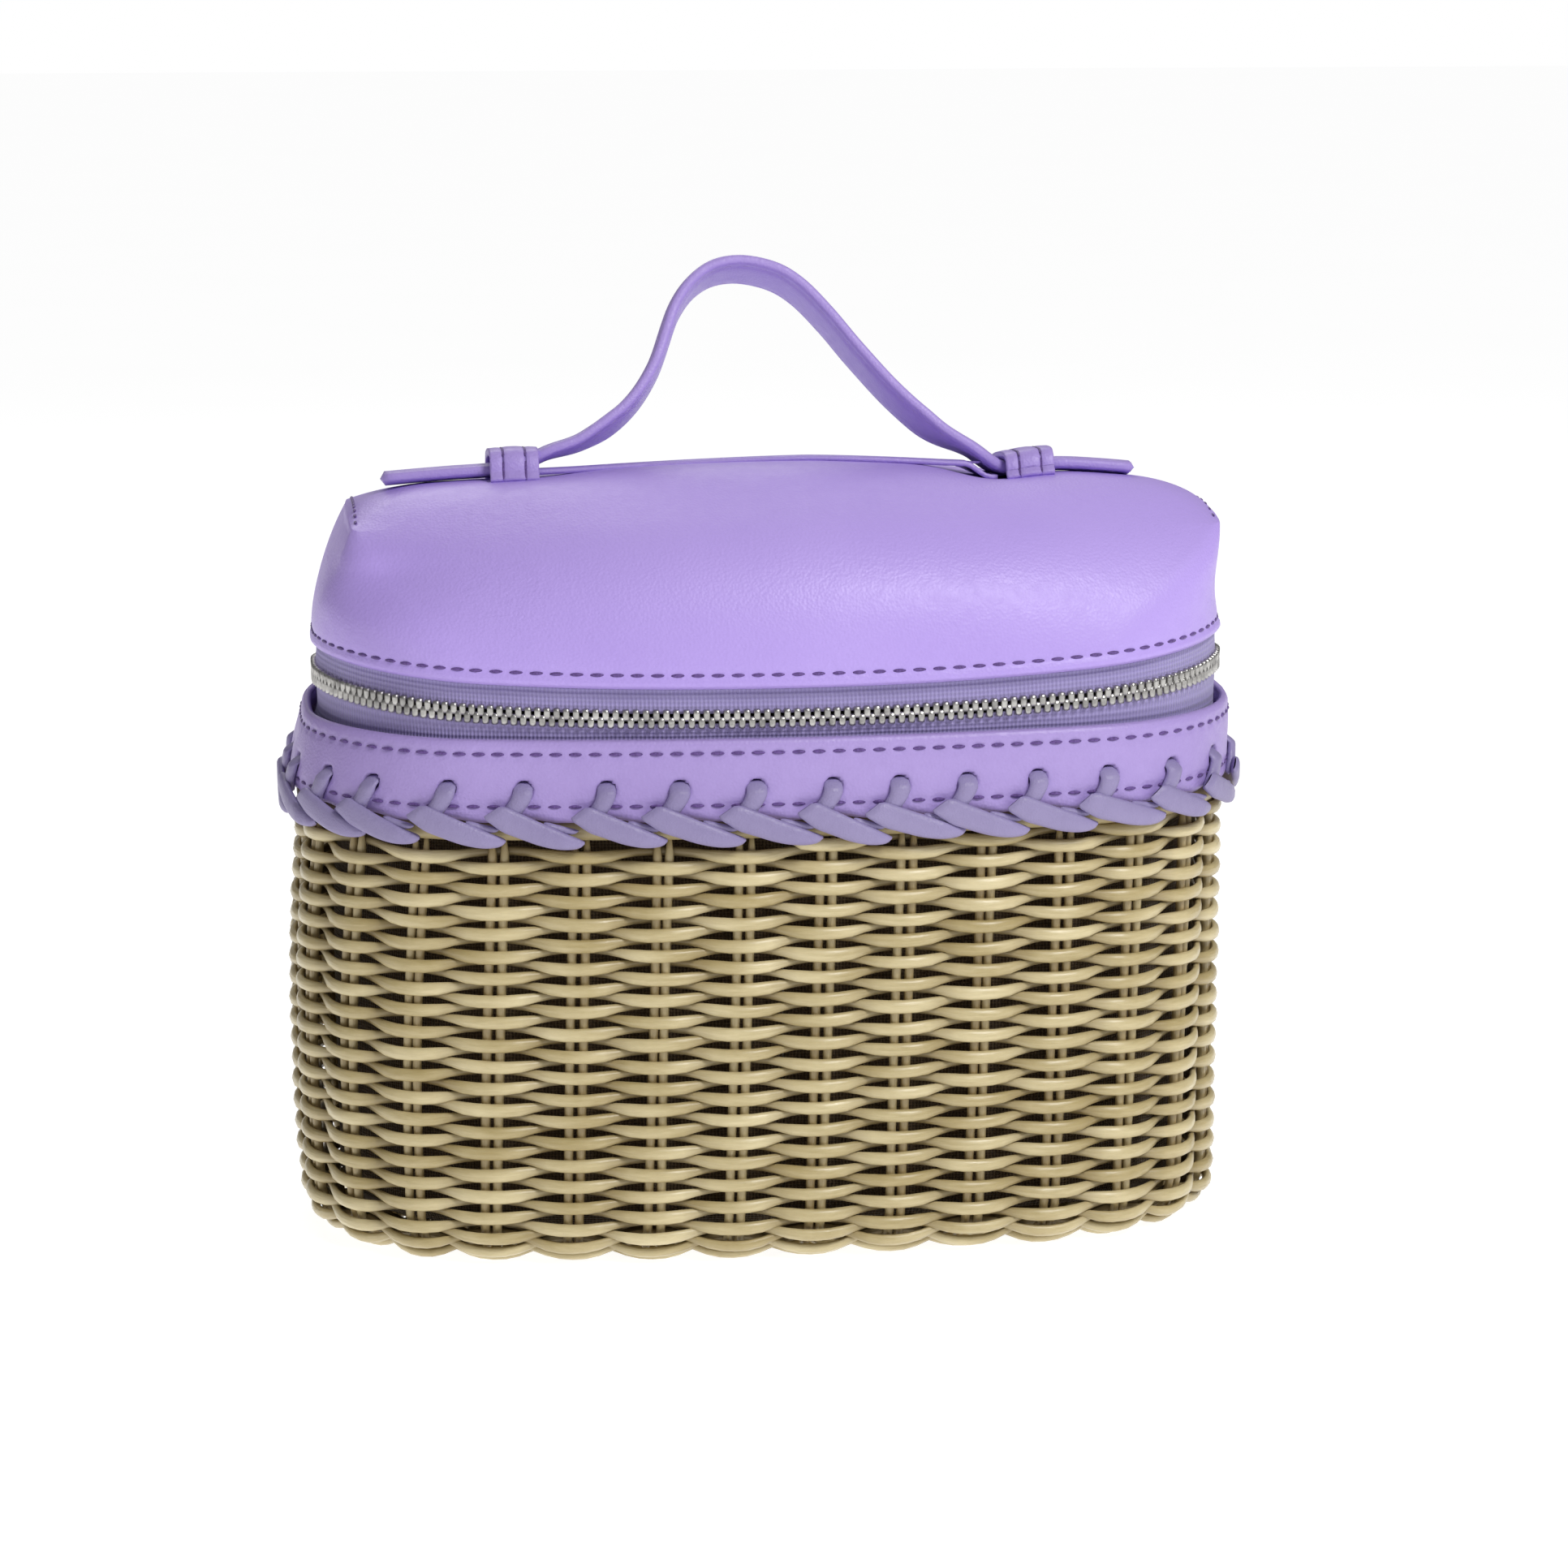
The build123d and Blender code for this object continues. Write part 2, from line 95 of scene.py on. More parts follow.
WALL = outline_arcs(HALF_LENGTH, HALF_DEPTH, CORNER)
ARC_LENGTHS = WALL[:, 2] * WALL[:, 4]
ARC_STARTS = np.concatenate([[0], np.cumsum(ARC_LENGTHS)[:-1]])
AROUND = float(ARC_LENGTHS.sum())


def arc_at(s):
    """The arc that holds a distance along the wall, and the share of that arc before it."""
    s = np.mod(s, AROUND)
    k = np.clip(np.searchsorted(ARC_STARTS, s, side="right") - 1, 0, len(WALL) - 1)
    return k, (s - ARC_STARTS[k]) / ARC_LENGTHS[k]


def on_arcs(arcs, k, share, out=0.0):
    x, y, radius, start, turn = arcs[k].T
    angle = start + turn * share
    return x + (radius + out) * np.cos(angle), y + (radius + out) * np.sin(angle)


def xyz(x, y, z):
    return np.stack(np.broadcast_arrays(x, y, z), -1)


def wall(s, out, z):
    """Points s along the wall from the middle of the front, moved outward by out, at height z."""
    return xyz(*on_arcs(WALL, *arc_at(s), out), z)


def outward(s):
    k, share = arc_at(s)
    angle = WALL[k, 3] + WALL[k, 4] * share
    return xyz(np.cos(angle), np.sin(angle), 0.0)


print("the wall is", round(AROUND), "mm round")

# %% [markdown]
# ## Camera and light
# The camera stands a little to the left and looks slightly down, with a long lens, so the
# box's sides stay nearly upright. One large soft lamp lights it from the upper right, with a
# weaker one from the left and one from behind, in a white room.

# %% Camera
YAW, DROP = math.radians(6.8), math.radians(11.76)
AIM = Vector((5.64, 0.0, 92.9)) * MM
DISTANCE = 0.95
SENSOR, LENS = 36.0, 99.0
scene = bpy.context.scene


def add_aimed(name, data, place):
    """A camera or lamp at a place, turned to the bag's middle."""
    made = bpy.data.objects.new(name, data)
    scene.collection.objects.link(made)
    made.location = place
    made.rotation_euler = (AIM - Vector(place)).to_track_quat("-Z", "Y").to_euler()
    return made


forward = Vector((math.sin(YAW) * math.cos(DROP), math.cos(YAW) * math.cos(DROP), -math.sin(DROP)))
camera = add_aimed("camera", bpy.data.cameras.new("camera"), AIM - forward * DISTANCE)
camera.data.sensor_width = SENSOR
camera.data.lens = LENS
scene.camera = camera
scene.view_settings.view_transform = "Standard"
print("camera at", [round(v, 3) for v in camera.location])

# %% Lamps and room
WHITE = (1, 1, 1, 1)
ROOM_LIGHT, ROOM_SEEN = 0.2, 1.0
LAMPS = (  # name, place, size, watts
    ("key_lamp", (0.46, -0.72, 0.9), 0.4, 7.8),
    ("fill_lamp", (-0.8, -0.9, 0.5), 0.8, 0.35),
    ("back_lamp", (-0.1, 0.8, 0.9), 0.7, 3.5),
)
for name, place, size, watts in LAMPS:
    lamp = add_aimed(name, bpy.data.lights.new(name, "AREA"), place)
    lamp.data.size, lamp.data.energy = size, watts

# the white room lights with one strength and is seen with another
world = scene.world = bpy.data.worlds.new("room")
world.use_nodes = True
tree = world.node_tree
lights = tree.nodes["Background"], tree.nodes.new("ShaderNodeBackground")
for light, level in zip(lights, (ROOM_LIGHT, ROOM_SEEN)):
    light.inputs["Color"].default_value = WHITE
    light.inputs["Strength"].default_value = level
ray = tree.nodes.new("ShaderNodeLightPath").outputs["Is Camera Ray"]
mix = tree.nodes.new("ShaderNodeMixShader")
for source, socket in zip((ray, *(light.outputs[0] for light in lights)), mix.inputs):
    tree.links.new(source, socket)
tree.links.new(mix.outputs[0], tree.nodes["World Output"].inputs[0])
print(len(LAMPS), "lamps")

# %% [markdown]
# ## Shader expressions
# A material is easier to read as a sum than as a web of nodes. `Value` wraps a socket so that
# Python's operators add Math nodes, and `Paint.node` adds any other node from its type, its
# settings and what goes into its sockets.

# %% Values and paints
def srgb(*levels):
    """A colour given as 0 to 255 on screen, as the linear colour that shaders use."""
    shares = [level / 255 for level in levels]
    return tuple(c / 12.92 if c < 0.04045 else ((c + 0.055) / 1.055) ** 2.4 for c in shares) + (1.0,)


class Value:
    """A shader socket that Python's operators work on."""

    def __init__(self, paint, socket):
        self.paint, self.socket = paint, socket

    def math(self, operation, *others):
        return self.paint.node("Math", {"operation": operation}, dict(enumerate((self, *others))))

    def __add__(self, other):
        return self.math("ADD", other)

    def __sub__(self, other):
        return self.math("SUBTRACT", other)

    def __mul__(self, other):
        return self.math("MULTIPLY", other)

    def __abs__(self):
        return self.math("ABSOLUTE")

    __radd__ = __add__


class Paint:
    """A material in the making."""

    def __init__(self, name, **fixed):
        self.material = bpy.data.materials.new(name)
        self.material.use_nodes = True
        self.tree = self.material.node_tree
        self.shader = self.tree.nodes["Principled BSDF"]
        for socket, value in fixed.items():
            self.shader.inputs[socket.replace("_", " ")].default_value = value

    def put(self, socket, value):
        if isinstance(value, Value):
            self.tree.links.new(value.socket, socket)
        else:
            socket.default_value = value

    def node(self, kind, settings=None, ins=None, out=0):
        made = self.tree.nodes.new("ShaderNode" + kind)
        for key, value in (settings or {}).items():
            setattr(made, key, value)
        for key, value in (ins or {}).items():
            self.put(made.inputs[key], value)
        return Value(self, made.outputs[out])

    def set(self, socket, value):
        self.put(self.shader.inputs[socket], value)

    def place(self):
        return self.node("TexCoord", out=3)

    def scaled(self, where, *scale):
        return self.node("Mapping", ins={"Vector": where, "Scale": scale})

    def uv(self, across, up):
        return self.scaled(self.node("TexCoord", out=2), across, up, 1)

    def noise(self, where, scale, detail=3.0, rough=0.5, distortion=0.0):
        ins = {"Vector": where, "Scale": scale, "Detail": detail,
               "Roughness": rough, "Distortion": distortion}
        return self.node("TexNoise", ins=ins)

    def cells(self, where, scale):
        return self.node("TexVoronoi", ins={"Vector": where, "Scale": scale})

    def ramp(self, value, low, high, start=0.0, end=1.0):
        """value from low to high turned into start to end, and held there outside."""
        ins = {"Value": value, "From Min": low, "From Max": high, "To Min": start, "To Max": end}
        return self.node("MapRange", ins=ins)

    def mix(self, share, first, second):
        """Two colours mixed; the Mix node's colour sockets are 6 and 7."""
        return self.node("Mix", {"data_type": "RGBA"}, {0: share, 6: first, 7: second}, out=2)

    def mark(self, name):
        """A number stored on the mesh's points."""
        return self.node("Attribute", {"attribute_name": name}, out=2)

    def bump(self, height, distance, strength=1.0, under=None):
        ins = {"Height": height, "Distance": distance, "Strength": strength}
        if under:
            ins["Normal"] = under
        return self.node("Bump", ins=ins)


print("shader words are ready")

# %% [markdown]
# ## Leather
# The lid and the collar are smooth calf, dyed lilac, with a fine pebble grain, a soft sheen
# and a few fine creases where it bends. The grain is a net of small cells, the creases are
# longer cells shown only in patches, and the dye is a little uneven. The collar's leather is
# painted darker than the lid's as the shade that the lid casts on it, and its punched holes
# are painted dark as shade.

# %% Leather finishes
# the dark purple painted into the punched holes as their shade
PAINTED_HOLE_SHADE = (40, 26, 66)


def leather(name, colour, shade, grain=1500.0, rough=0.4, creases=1.0):
    paint = Paint(name, IOR=1.45, Coat_Weight=0.06, Coat_Roughness=0.3)
    where = paint.place()
    broad = paint.noise(where, 18.0, 3.0)
    fine = paint.noise(where, 420.0, 4.0, 0.6)
    pebble = paint.cells(where, grain)
    bent = paint.noise(paint.scaled(where, 1, 1, 2.2), 140.0, 6.0, 0.65, 0.6)
    patch = paint.ramp(paint.noise(where, 26.0, 1.0), 0.54, 0.68)
    tone = paint.ramp(broad, 0.35, 0.7) * 0.55 + paint.ramp(fine, 0.4, 0.7) * 0.18
    dyed = paint.mix(tone, srgb(*colour), srgb(*shade))
    # where a mesh marks its holes, the colour is mixed to painted shade
    paint.set("Base Color", paint.mix(paint.mark("painted_hole_shade"), dyed, srgb(*PAINTED_HOLE_SHADE)))
    paint.set("Roughness", rough + paint.ramp(fine, 0.3, 0.7, -0.05, 0.07) + pebble * 0.05)
    low = paint.bump(patch * abs(bent - 0.5), 0.0012, 0.35 * creases)
    paint.set("Normal", paint.bump(pebble + fine * 0.6, 0.00025, 0.3, low))
    return paint.material


LID_LEATHER = leather("lid_leather", (192, 167, 242), (180, 154, 232))
# the collar is the lid's leather, painted darker as the shade that the lid casts on it; the hinge
# strip uses it too
COLLAR_LEATHER_PAINTED_SHADE = leather("collar_leather", (182, 160, 224), (166, 144, 208), creases=1.4)
STRAP_LEATHER = leather("strap_leather", (180, 157, 226), (162, 140, 212), grain=1800.0, rough=0.42)
THONG_LEATHER = leather("thong_leather", (158, 147, 190), (136, 125, 168), grain=2200.0, rough=0.4)
print("four leathers")

# %% [markdown]
# ## Cane, thread, tape, metal and lining
# Cane is split and varnished: straw yellow, with streaks that run along each strand and a
# different tone from strand to strand. Painted shade darkens it where a strand goes behind its
# stakes and on the strand's inner side, and a set amount of it darkens the stakes, the hoop and
# the base sticks. The tape is a ribbed weave, the metal is polished and a little scratched, and
# the lining is plain brown cotton. The stitch thread is coloured dark purple as painted shade in
# the stitch holes.

# %% Cane
# the dark brown painted as shade where cane goes behind other cane
BEHIND_PAINTED_SHADE = (92, 68, 34)


def cane(name, along, pale=(238, 223, 178), deep=(182, 163, 112)):
    """along is the strand's length in millimetres, for streaks that keep their size."""
    paint = Paint(name, IOR=1.5, Coat_Weight=0.35, Coat_Roughness=0.22)
    streak = paint.noise(paint.uv(along / 14.0, 3.2), 2.0, 5.0, 0.65)
    fibre = paint.noise(paint.uv(along / 9.0, 14.0), 2.0, 2.0, 0.6)
    blotch = paint.noise(paint.place(), 70.0, 3.0)
    tone = paint.mark("tone") * 0.75 + paint.ramp(streak, 0.32, 0.7) * 0.35
    tone += paint.ramp(blotch, 0.4, 0.7) * 0.2
    skin = paint.mix(tone, srgb(*pale), srgb(*deep))
    # painted shade where the strand goes behind its stakes; the same mark also makes the cane rougher
    # there
    behind = paint.mark("behind")
    paint.set("Base Color", paint.mix(behind * 0.82, skin, srgb(*BEHIND_PAINTED_SHADE)))
    paint.set("Roughness", 0.34 + paint.ramp(streak, 0.3, 0.7, -0.06, 0.12) + behind * 0.2)
    paint.set("Normal", paint.bump(fibre * 0.7 + streak, 0.0003, 0.5))
    return paint.material


# %% Thread, weave and metal
def thread(name, colour, shade):
    paint = Paint(name, Sheen_Weight=0.2)
    twist = paint.noise(paint.place(), 2600.0, 2.0)
    paint.set("Base Color", paint.mix(paint.ramp(twist, 0.4, 0.6), srgb(*colour), srgb(*shade)))
    paint.set("Roughness", 0.5 + twist * 0.2)
    paint.set("Normal", paint.bump(twist, 0.0002, 0.6))
    return paint.material


def woven(name, colour, shade, across, up, rough=0.75):
    """A ribbed weave with across ribs one way and up the other, on the piece's UV map."""
    paint = Paint(name, Sheen_Weight=0.25, Sheen_Roughness=0.5)

    def ribs(way, where, waver):
        ins = {"Vector": where, "Scale": 0.32, "Distortion": waver, "Detail": 1.0}
        return paint.node("TexWave", {"bands_direction": way}, ins, out=1)

    knit = ribs("X", paint.uv(across, up * 0.35), 0.4) * 0.6
    knit += ribs("Y", paint.uv(across * 0.25, up), 0.6) * 0.5
    soil = paint.noise(paint.place(), 90.0, 3.0)
    shaded = paint.mix(paint.ramp(knit, 0.25, 0.85), srgb(*shade), srgb(*colour))
    paint.set("Base Color", paint.mix(paint.ramp(soil, 0.4, 0.75, 0.0, 0.3), shaded, srgb(*shade)))
    paint.set("Roughness", rough + knit * 0.12)
    paint.set("Normal", paint.bump(knit, 0.0004, 0.7))
    return paint.material


def metal(name, colour, shade):
    paint = Paint(name, Metallic=1.0)
    wear = paint.noise(paint.place(), 300.0, 4.0, 0.6)
    scratch = paint.noise(paint.scaled(paint.place(), 1, 1, 9), 900.0, 2.0)
    paint.set("Base Color", paint.mix(paint.ramp(wear, 0.35, 0.7), srgb(*colour), srgb(*shade)))
    paint.set("Roughness", 0.28 + paint.ramp(wear, 0.3, 0.7, 0.0, 0.16))
    paint.set("Normal", paint.bump(scratch, 0.0001, 0.25))
    return paint.material


# the stitch thread is coloured dark purple as painted shade for the stitch holes and grooves; the
# strap's thread keeps the leather's pale colour
THREAD_PAINTED_SHADE = thread("stitch_thread_painted_shade", (108, 78, 150), (84, 56, 122))
STRAP_THREAD = thread("strap_thread", (190, 168, 228), (168, 146, 208))
ZIP_METAL = metal("zip_nickel", (204, 202, 198), (150, 148, 146))
print("thread and metal")

# %% [markdown]
# ## Making meshes
# Cane, leather and tape are all surfaces with a length and a width. Each starts as a grid
# primitive, and its points are then laid where a rule says. Where a surface closes on itself
# the edges that meet are merged. What repeats, such as a stitch or a tooth, is modelled once
# and copied to every place.

# %% Grids, joins and copies
MERGE = 0.004


def added(add, **settings):
    """The object that an add operator makes."""
    bpy.ops.object.select_all(action="DESELECT")
    add(**settings)
    return bpy.context.object


def edit(*steps):
    """Runs edit-mode steps on the whole active mesh."""
    bpy.ops.object.mode_set(mode="EDIT")
    bpy.ops.mesh.select_all(action="SELECT")
    for step in steps:
        step()
    bpy.ops.object.mode_set(mode="OBJECT")


def merge():
    bpy.ops.mesh.remove_doubles(threshold=MERGE * MM)


def face_out():
    bpy.ops.mesh.normals_make_consistent(inside=False)


def pick(piece):
    bpy.ops.object.select_all(action="DESELECT")
    piece.select_set(True)
    bpy.context.view_layer.objects.active = piece


def coordinates(piece):
    flat = np.empty(len(piece.data.vertices) * 3, np.float32)
    piece.data.vertices.foreach_get("co", flat)
    return flat.reshape(-1, 3).astype(float)


def place_points(piece, points):
    piece.data.vertices.foreach_set("co", (points * MM).astype(np.float32).ravel())
    piece.data.update()


def grid(name, columns, rows, lay, closed=True, out=False):
    """A grid whose points go where lay(u, v) says, in millimetres, u and v from 0 to 1."""
    piece = added(bpy.ops.mesh.primitive_grid_add, x_subdivisions=columns, y_subdivisions=rows, size=2)
    piece.name = piece.data.name = name
    u, v = unit((coordinates(piece)[:, :2].T + 1) / 2)
    place_points(piece, lay(u, v))
    if closed:
        edit(merge, *([face_out] if out else []))
    bpy.ops.object.shade_smooth()
    return piece


def thicken(piece, thickness, side=-1.0):
    """Gives a surface its thickness, inward unless side is 1."""
    pick(piece)
    solid = piece.modifiers.new("thickness", "SOLIDIFY")
    solid.thickness, solid.offset = thickness * MM, side
    bpy.ops.object.modifier_apply(modifier=solid.name)


def copies(name, model, count, lay):
    """One mesh of count copies of model. lay(k, points) says where copy k's points go."""
    points = coordinates(model) / MM
    faces = [list(face.vertices) for face in model.data.polygons]
    mesh = bpy.data.meshes.new(name)
    laid = np.concatenate([lay(k, points) for k in range(count)])
    every = [[v + k * len(points) for v in face] for k in range(count) for face in faces]
    mesh.from_pydata((laid * MM).tolist(), [], every)
    mesh.polygons.foreach_set("use_smooth", [True] * len(every))
    uv = mesh.uv_layers.new(name="UVMap")
    flat = np.empty(len(model.data.loops) * 2, np.float32)
    model.data.uv_layers.active.data.foreach_get("uv", flat)
    uv.data.foreach_set("uv", np.tile(flat, count))
    piece = bpy.data.objects.new(name, mesh)
    scene.collection.objects.link(piece)
    bpy.data.objects.remove(model)
    return piece


def mark_points(piece, name, values):
    """Stores one number for each point, or the same number for all."""
    kept = piece.data.attributes.new(name, "FLOAT", "POINT").data
    kept.foreach_set("value", np.full(len(kept), values, np.float32))


def ready(piece, finish, body=None, stands_for=()):
    """The last step for a piece: its finish and the body that it rides on."""
    piece.data.materials.clear()
    piece.data.materials.append(finish)
    if body:
        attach(piece, body)
    if stands_for:
        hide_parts(*stands_for)
    print(piece.name, len(piece.data.polygons), "faces")


def seat_frame(s):
    """Directions on the wall: along it and outward."""
    out = outward(s)
    return xyz(-out[..., 1], out[..., 0], 0 * out[..., 0]), out


def unit(x):
    return np.clip(x, 0, 1)


def smooth(x):
    x = unit(x)
    return x * x * (3 - 2 * x)


def hill(x, width):
    return np.exp(-((x / width) ** 2))


def rounded(x):
    """A quarter circle's rise, from 0 at 0 to 1 at 1."""
    return np.sqrt(1 - (1 - x) ** 2)


def circle(v):
    return np.cos(2 * PI * v), np.sin(2 * PI * v)


def from_ends(u, rate):
    """0 at both ends of a piece, rising to 1 on the way in."""
    return unit(np.minimum(u, 1 - u) * rate)


def squarer(x, power):
    """A sine or cosine drawn towards 1 and -1, which makes a round section squarer."""
    return np.sign(x) * np.abs(x) ** power


def settled(point):
    """The soft top as it sits: drawn in a little at its left end above the lacing, with the
    ends of the zip drawn up and the middle of its front sagging."""
    x, y, z = point[..., 0], point[..., 1], point[..., 2]
    pull = 2.9 * smooth((-x - 35) / 60) * smooth((z - 99) / 16)
    lift = zip_lift(x, y) * smooth((z - 113.5) / 5)
    return xyz(x + pull, y, z + lift)


def zip_lift(x, y):
    return (4.4 * unit(np.abs(x + 4) / 100) ** 2.4 - 1.0) * smooth((30 - y) / 50)


# %% A stitch to copy
STITCH_PITCH = 4.2
STITCH_LONG, STITCH_WIDE = 2.9, 0.8
ROUND_STITCHES = round(AROUND / STITCH_PITCH)


def stitch_model(share):
    """A short fat thread along X, on a surface that faces Z, at a share of the full size."""
    model = added(bpy.ops.mesh.primitive_uv_sphere_add, segments=8, ring_count=6, radius=1,
                  rotation=(0, PI / 2, 0))
    bpy.ops.object.transform_apply(rotation=True)
    half = STITCH_WIDE / 2 * MM * share
    bpy.ops.transform.resize(value=(STITCH_LONG / 2 * MM, half, half))
    bpy.ops.object.transform_apply(scale=True)
    return model


# stitches take the thread that is painted dark as shade unless told otherwise
def sew(name, body, middles, along, out, finish=THREAD_PAINTED_SHADE, share=1.0):
    """Stitches at middles, each lying along one direction on a surface that faces another."""
    across = np.cross(out, along)

    def lay(k, points):
        x, y, z = points.T[:, :, None]
        return middles[k] + x * along[k] + y * across[k] + z * out[k]

    row = copies(name, stitch_model(share), len(middles), lay)
    ready(row, finish, body)
    return row


def sew_wall(name, body, out, z, start=0.0, stop=AROUND):
    """A row of stitches round the wall."""
    count = round((stop - start) / STITCH_PITCH)
    s = start + (np.arange(count) + 0.5) * (stop - start) / count
    along, facing = seat_frame(s)
    sew(name, body, settled(wall(s, out, z)), along, facing)


# %% [markdown]
# ## The cane weave
# The box is randed: one long strand winds round and round, in front of one pair of stakes
# and behind the next. The number of pairs is odd, so each round falls between the last
# round's passes. The strand is one tube on a rule: its distance along gives where it is round
# the wall and how far down, and a cosine takes it in front and behind. The wall turns in at
# the foot, and the same winding goes on underneath.

# %% The weave's rule
PAIRS = 31
PAIR_PITCH = AROUND / PAIRS
ROW_PITCH = 2.37
WEAVE_TOP = 91.6
FOOT = 8.0
STAKE_DEPTH = 2.75
SWING = 1.85
LEAN = -0.03
BULGE = 2.2
STEPS, BASE_STEPS = 6, 4  # grid columns from one crossing to the next
STRAIGHT = WEAVE_TOP - FOOT
TURNED = STRAIGHT + FOOT * PI / 2
WALL_ROUNDS, BASE_ROUNDS = 41, 12
dice = np.random.RandomState(31)
CROSSINGS = PAIRS * (WALL_ROUNDS + BASE_ROUNDS) + 4
JITTER = {what: dice.uniform(-1, 1, CROSSINGS) for what in ("sag", "swing", "tone", "tall")}
PAIR_SAG = dice.uniform(0.2, 1.0, PAIRS)


def between(values, k):
    """values at whole crossings, eased at the shares between them."""
    low = np.clip(np.floor(k).astype(int), 0, len(values) - 2)
    ease = smooth(k - low)
    return values[low] * (1 - ease) + values[low + 1] * ease


def profile(down):
    """Where the wall's face is, down from its top: outward, height, and the turn of the foot."""
    turn = np.clip((down - STRAIGHT) / FOOT, 0, PI / 2)
    under = np.clip(down - TURNED, 0, None)
    out = -FOOT * (1 - np.cos(turn)) - under
    z = np.clip(WEAVE_TOP - down, FOOT, None) - FOOT * np.sin(turn)
    return out, z, turn


def on_wall(s, down, depth, drop=0.0):
    """A point depth behind the wall's face, and drop further down along it."""
    out, z, turn = profile(down)
    out = out - depth * np.cos(turn) - drop * np.sin(turn)
    point = wall(s + LEAN * down, out, z + depth * np.sin(turn) - drop * np.cos(turn))
    bulge = BULGE * np.sin(PI * unit(z / WEAVE_TOP))
    point[..., 0] -= bulge * smooth((-point[..., 0] - 45) / 50)
    return point


def winding(name, first, last, steps):
    """The strand from one round to another, with each crossing's tone and the mark for painted shade
    where it goes behind its stakes.
    """
    marks = {}

    def lay(u, v):
        k = (first + (last - first) * u) * PAIRS
        s, down = k * PAIR_PITCH, k / PAIRS * ROW_PITCH
        front = np.cos(PI * (k - 0.5))
        outer, lower = circle(v)
        # painted shade: more where the strand goes behind its stakes and on its side that faces in
        behind = smooth(0.5 - 0.62 * front) * 0.75 + 0.35 * smooth(-outer)
        marks["tone"] = 0.5 + 0.5 * between(JITTER["tone"], k)
        marks["behind"] = unit(behind)
        front = front * (1.2 - 0.2 * front**2)
        swing = SWING * (1 + 0.12 * between(JITTER["swing"], k))
        sag = PAIR_SAG[np.mod(np.round(k - 0.5).astype(int), PAIRS)]
        sunk = 0.5 * front * (0.6 + 0.6 * sag) + 0.24 * between(JITTER["sag"], k)
        tall = (2.0 + 0.85 * smooth(front + 0.15) + 0.22 * between(JITTER["tall"], k)) / 2
        deep = (1.8 + 0.2 * front**2) / 2
        ends = np.sqrt(from_ends(u, (last - first) * PAIRS * 6))
        depth = STAKE_DEPTH - swing * front - deep * outer * ends
        return on_wall(s, down, depth, sunk + tall * lower * ends)

    piece = grid(name, (last - first) * PAIRS * steps, 8, lay, closed=False)
    for word, values in marks.items():
        mark_points(piece, word, values)
    pick(piece)
    edit(merge, face_out)
    return piece


# %% Weave the wall and the base
STRAND = cane("cane_weave", WALL_ROUNDS * AROUND)
wall_weave = winding("basket_weave", 0, WALL_ROUNDS, STEPS)
ready(wall_weave, STRAND, "body", ("basket",))
base_weave = winding("basket_base_weave", WALL_ROUNDS, WALL_ROUNDS + BASE_ROUNDS, BASE_STEPS)
ready(base_weave, STRAND, "body")

# %% [markdown]
# ## Stakes
# The stakes stand in pairs, round rods of the same cane that the strand goes round. Each
# runs down inside the wall, turns in at the foot and ends under the base, where a few
# straight sticks fill the middle.

# %% Stakes and base sticks
STAKE, STAKE_GAP, STAKE_ABOVE = 2.0, 2.55, 5.0
STICKS, STICK_PITCH, STICK = 11, 2.75, 2.4
STAKE_CANE = cane("cane_stakes", 130.0, (216, 200, 154), (170, 148, 102))


def rod_model(name, segments):
    """A rod along its own Y from 0 to 1, round in X and Z, with closed ends."""
    def lay(u, v):
        ends = np.where((u < 1e-6) | (u > 1 - 1e-6), 0.0, 1.0)
        c, s = circle(v)
        return xyz(c * ends, u, s * ends)

    return grid(name, segments, 8, lay, out=True)


def stake_place(k, points):
    s = (k // 2 + 0.5) * PAIR_PITCH + (k % 2 - 0.5) * STAKE_GAP
    length = TURNED + 24.0 + STAKE_ABOVE + k % 2
    down = points[:, 1] * length - STAKE_ABOVE
    half = STAKE / 2
    bowed = s + points[:, 2] * half + 0.25 * math.sin(k * 2.1) * np.sin(down / 22)
    point = on_wall(bowed, np.clip(down, 0, None), STAKE_DEPTH - points[:, 0] * half)
    point[:, 2] += np.clip(-down, 0, None)
    return point


stakes = copies("basket_stakes", rod_model("stake", 16), 2 * PAIRS, stake_place)
stake_tones = dice.uniform(0.2, 1, 2 * PAIRS)
mark_points(stakes, "tone", np.repeat(stake_tones, len(stakes.data.vertices) // len(stake_tones)))
# a little painted shade on the stakes
mark_points(stakes, "behind", 0.05)
ready(stakes, STAKE_CANE, "body")


def stick_place(k, points):
    row = k - STICKS // 2
    x = (points[:, 1] - 0.5) * (124 - 3 * abs(row))
    y = row * STICK_PITCH + points[:, 2] * STICK / 2
    z = 3.0 + 0.7 * np.sin(x / 8 + PI * k) + points[:, 0] * STICK / 2
    return xyz(x, y, z)


sticks = copies("basket_base_sticks", rod_model("stick", 40), STICKS, stick_place)
mark_points(sticks, "tone", 0.5)
# some painted shade on the sticks under the base
mark_points(sticks, "behind", 0.2)
ready(sticks, STAKE_CANE, "body")

# %% [markdown]
# ## Rim hoop
# Under the collar, a thicker cane hoop closes the weave. It is an oval tube round the wall.
# The thong that goes round it hides most of it.

# %% Hoop
HOOP_MIDDLE, HOOP_TALL, HOOP_DEEP, HOOP_IN = 94.9, 4.6, 3.6, 2.2


def hoop_place(u, v):
    outer, upper = circle(-v)
    return wall(u * AROUND, HOOP_DEEP / 2 * outer - HOOP_IN, HOOP_MIDDLE + HOOP_TALL / 2 * upper)


hoop = grid("basket_rim", 240, 14, hoop_place, out=True)
mark_points(hoop, "tone", 0.6)
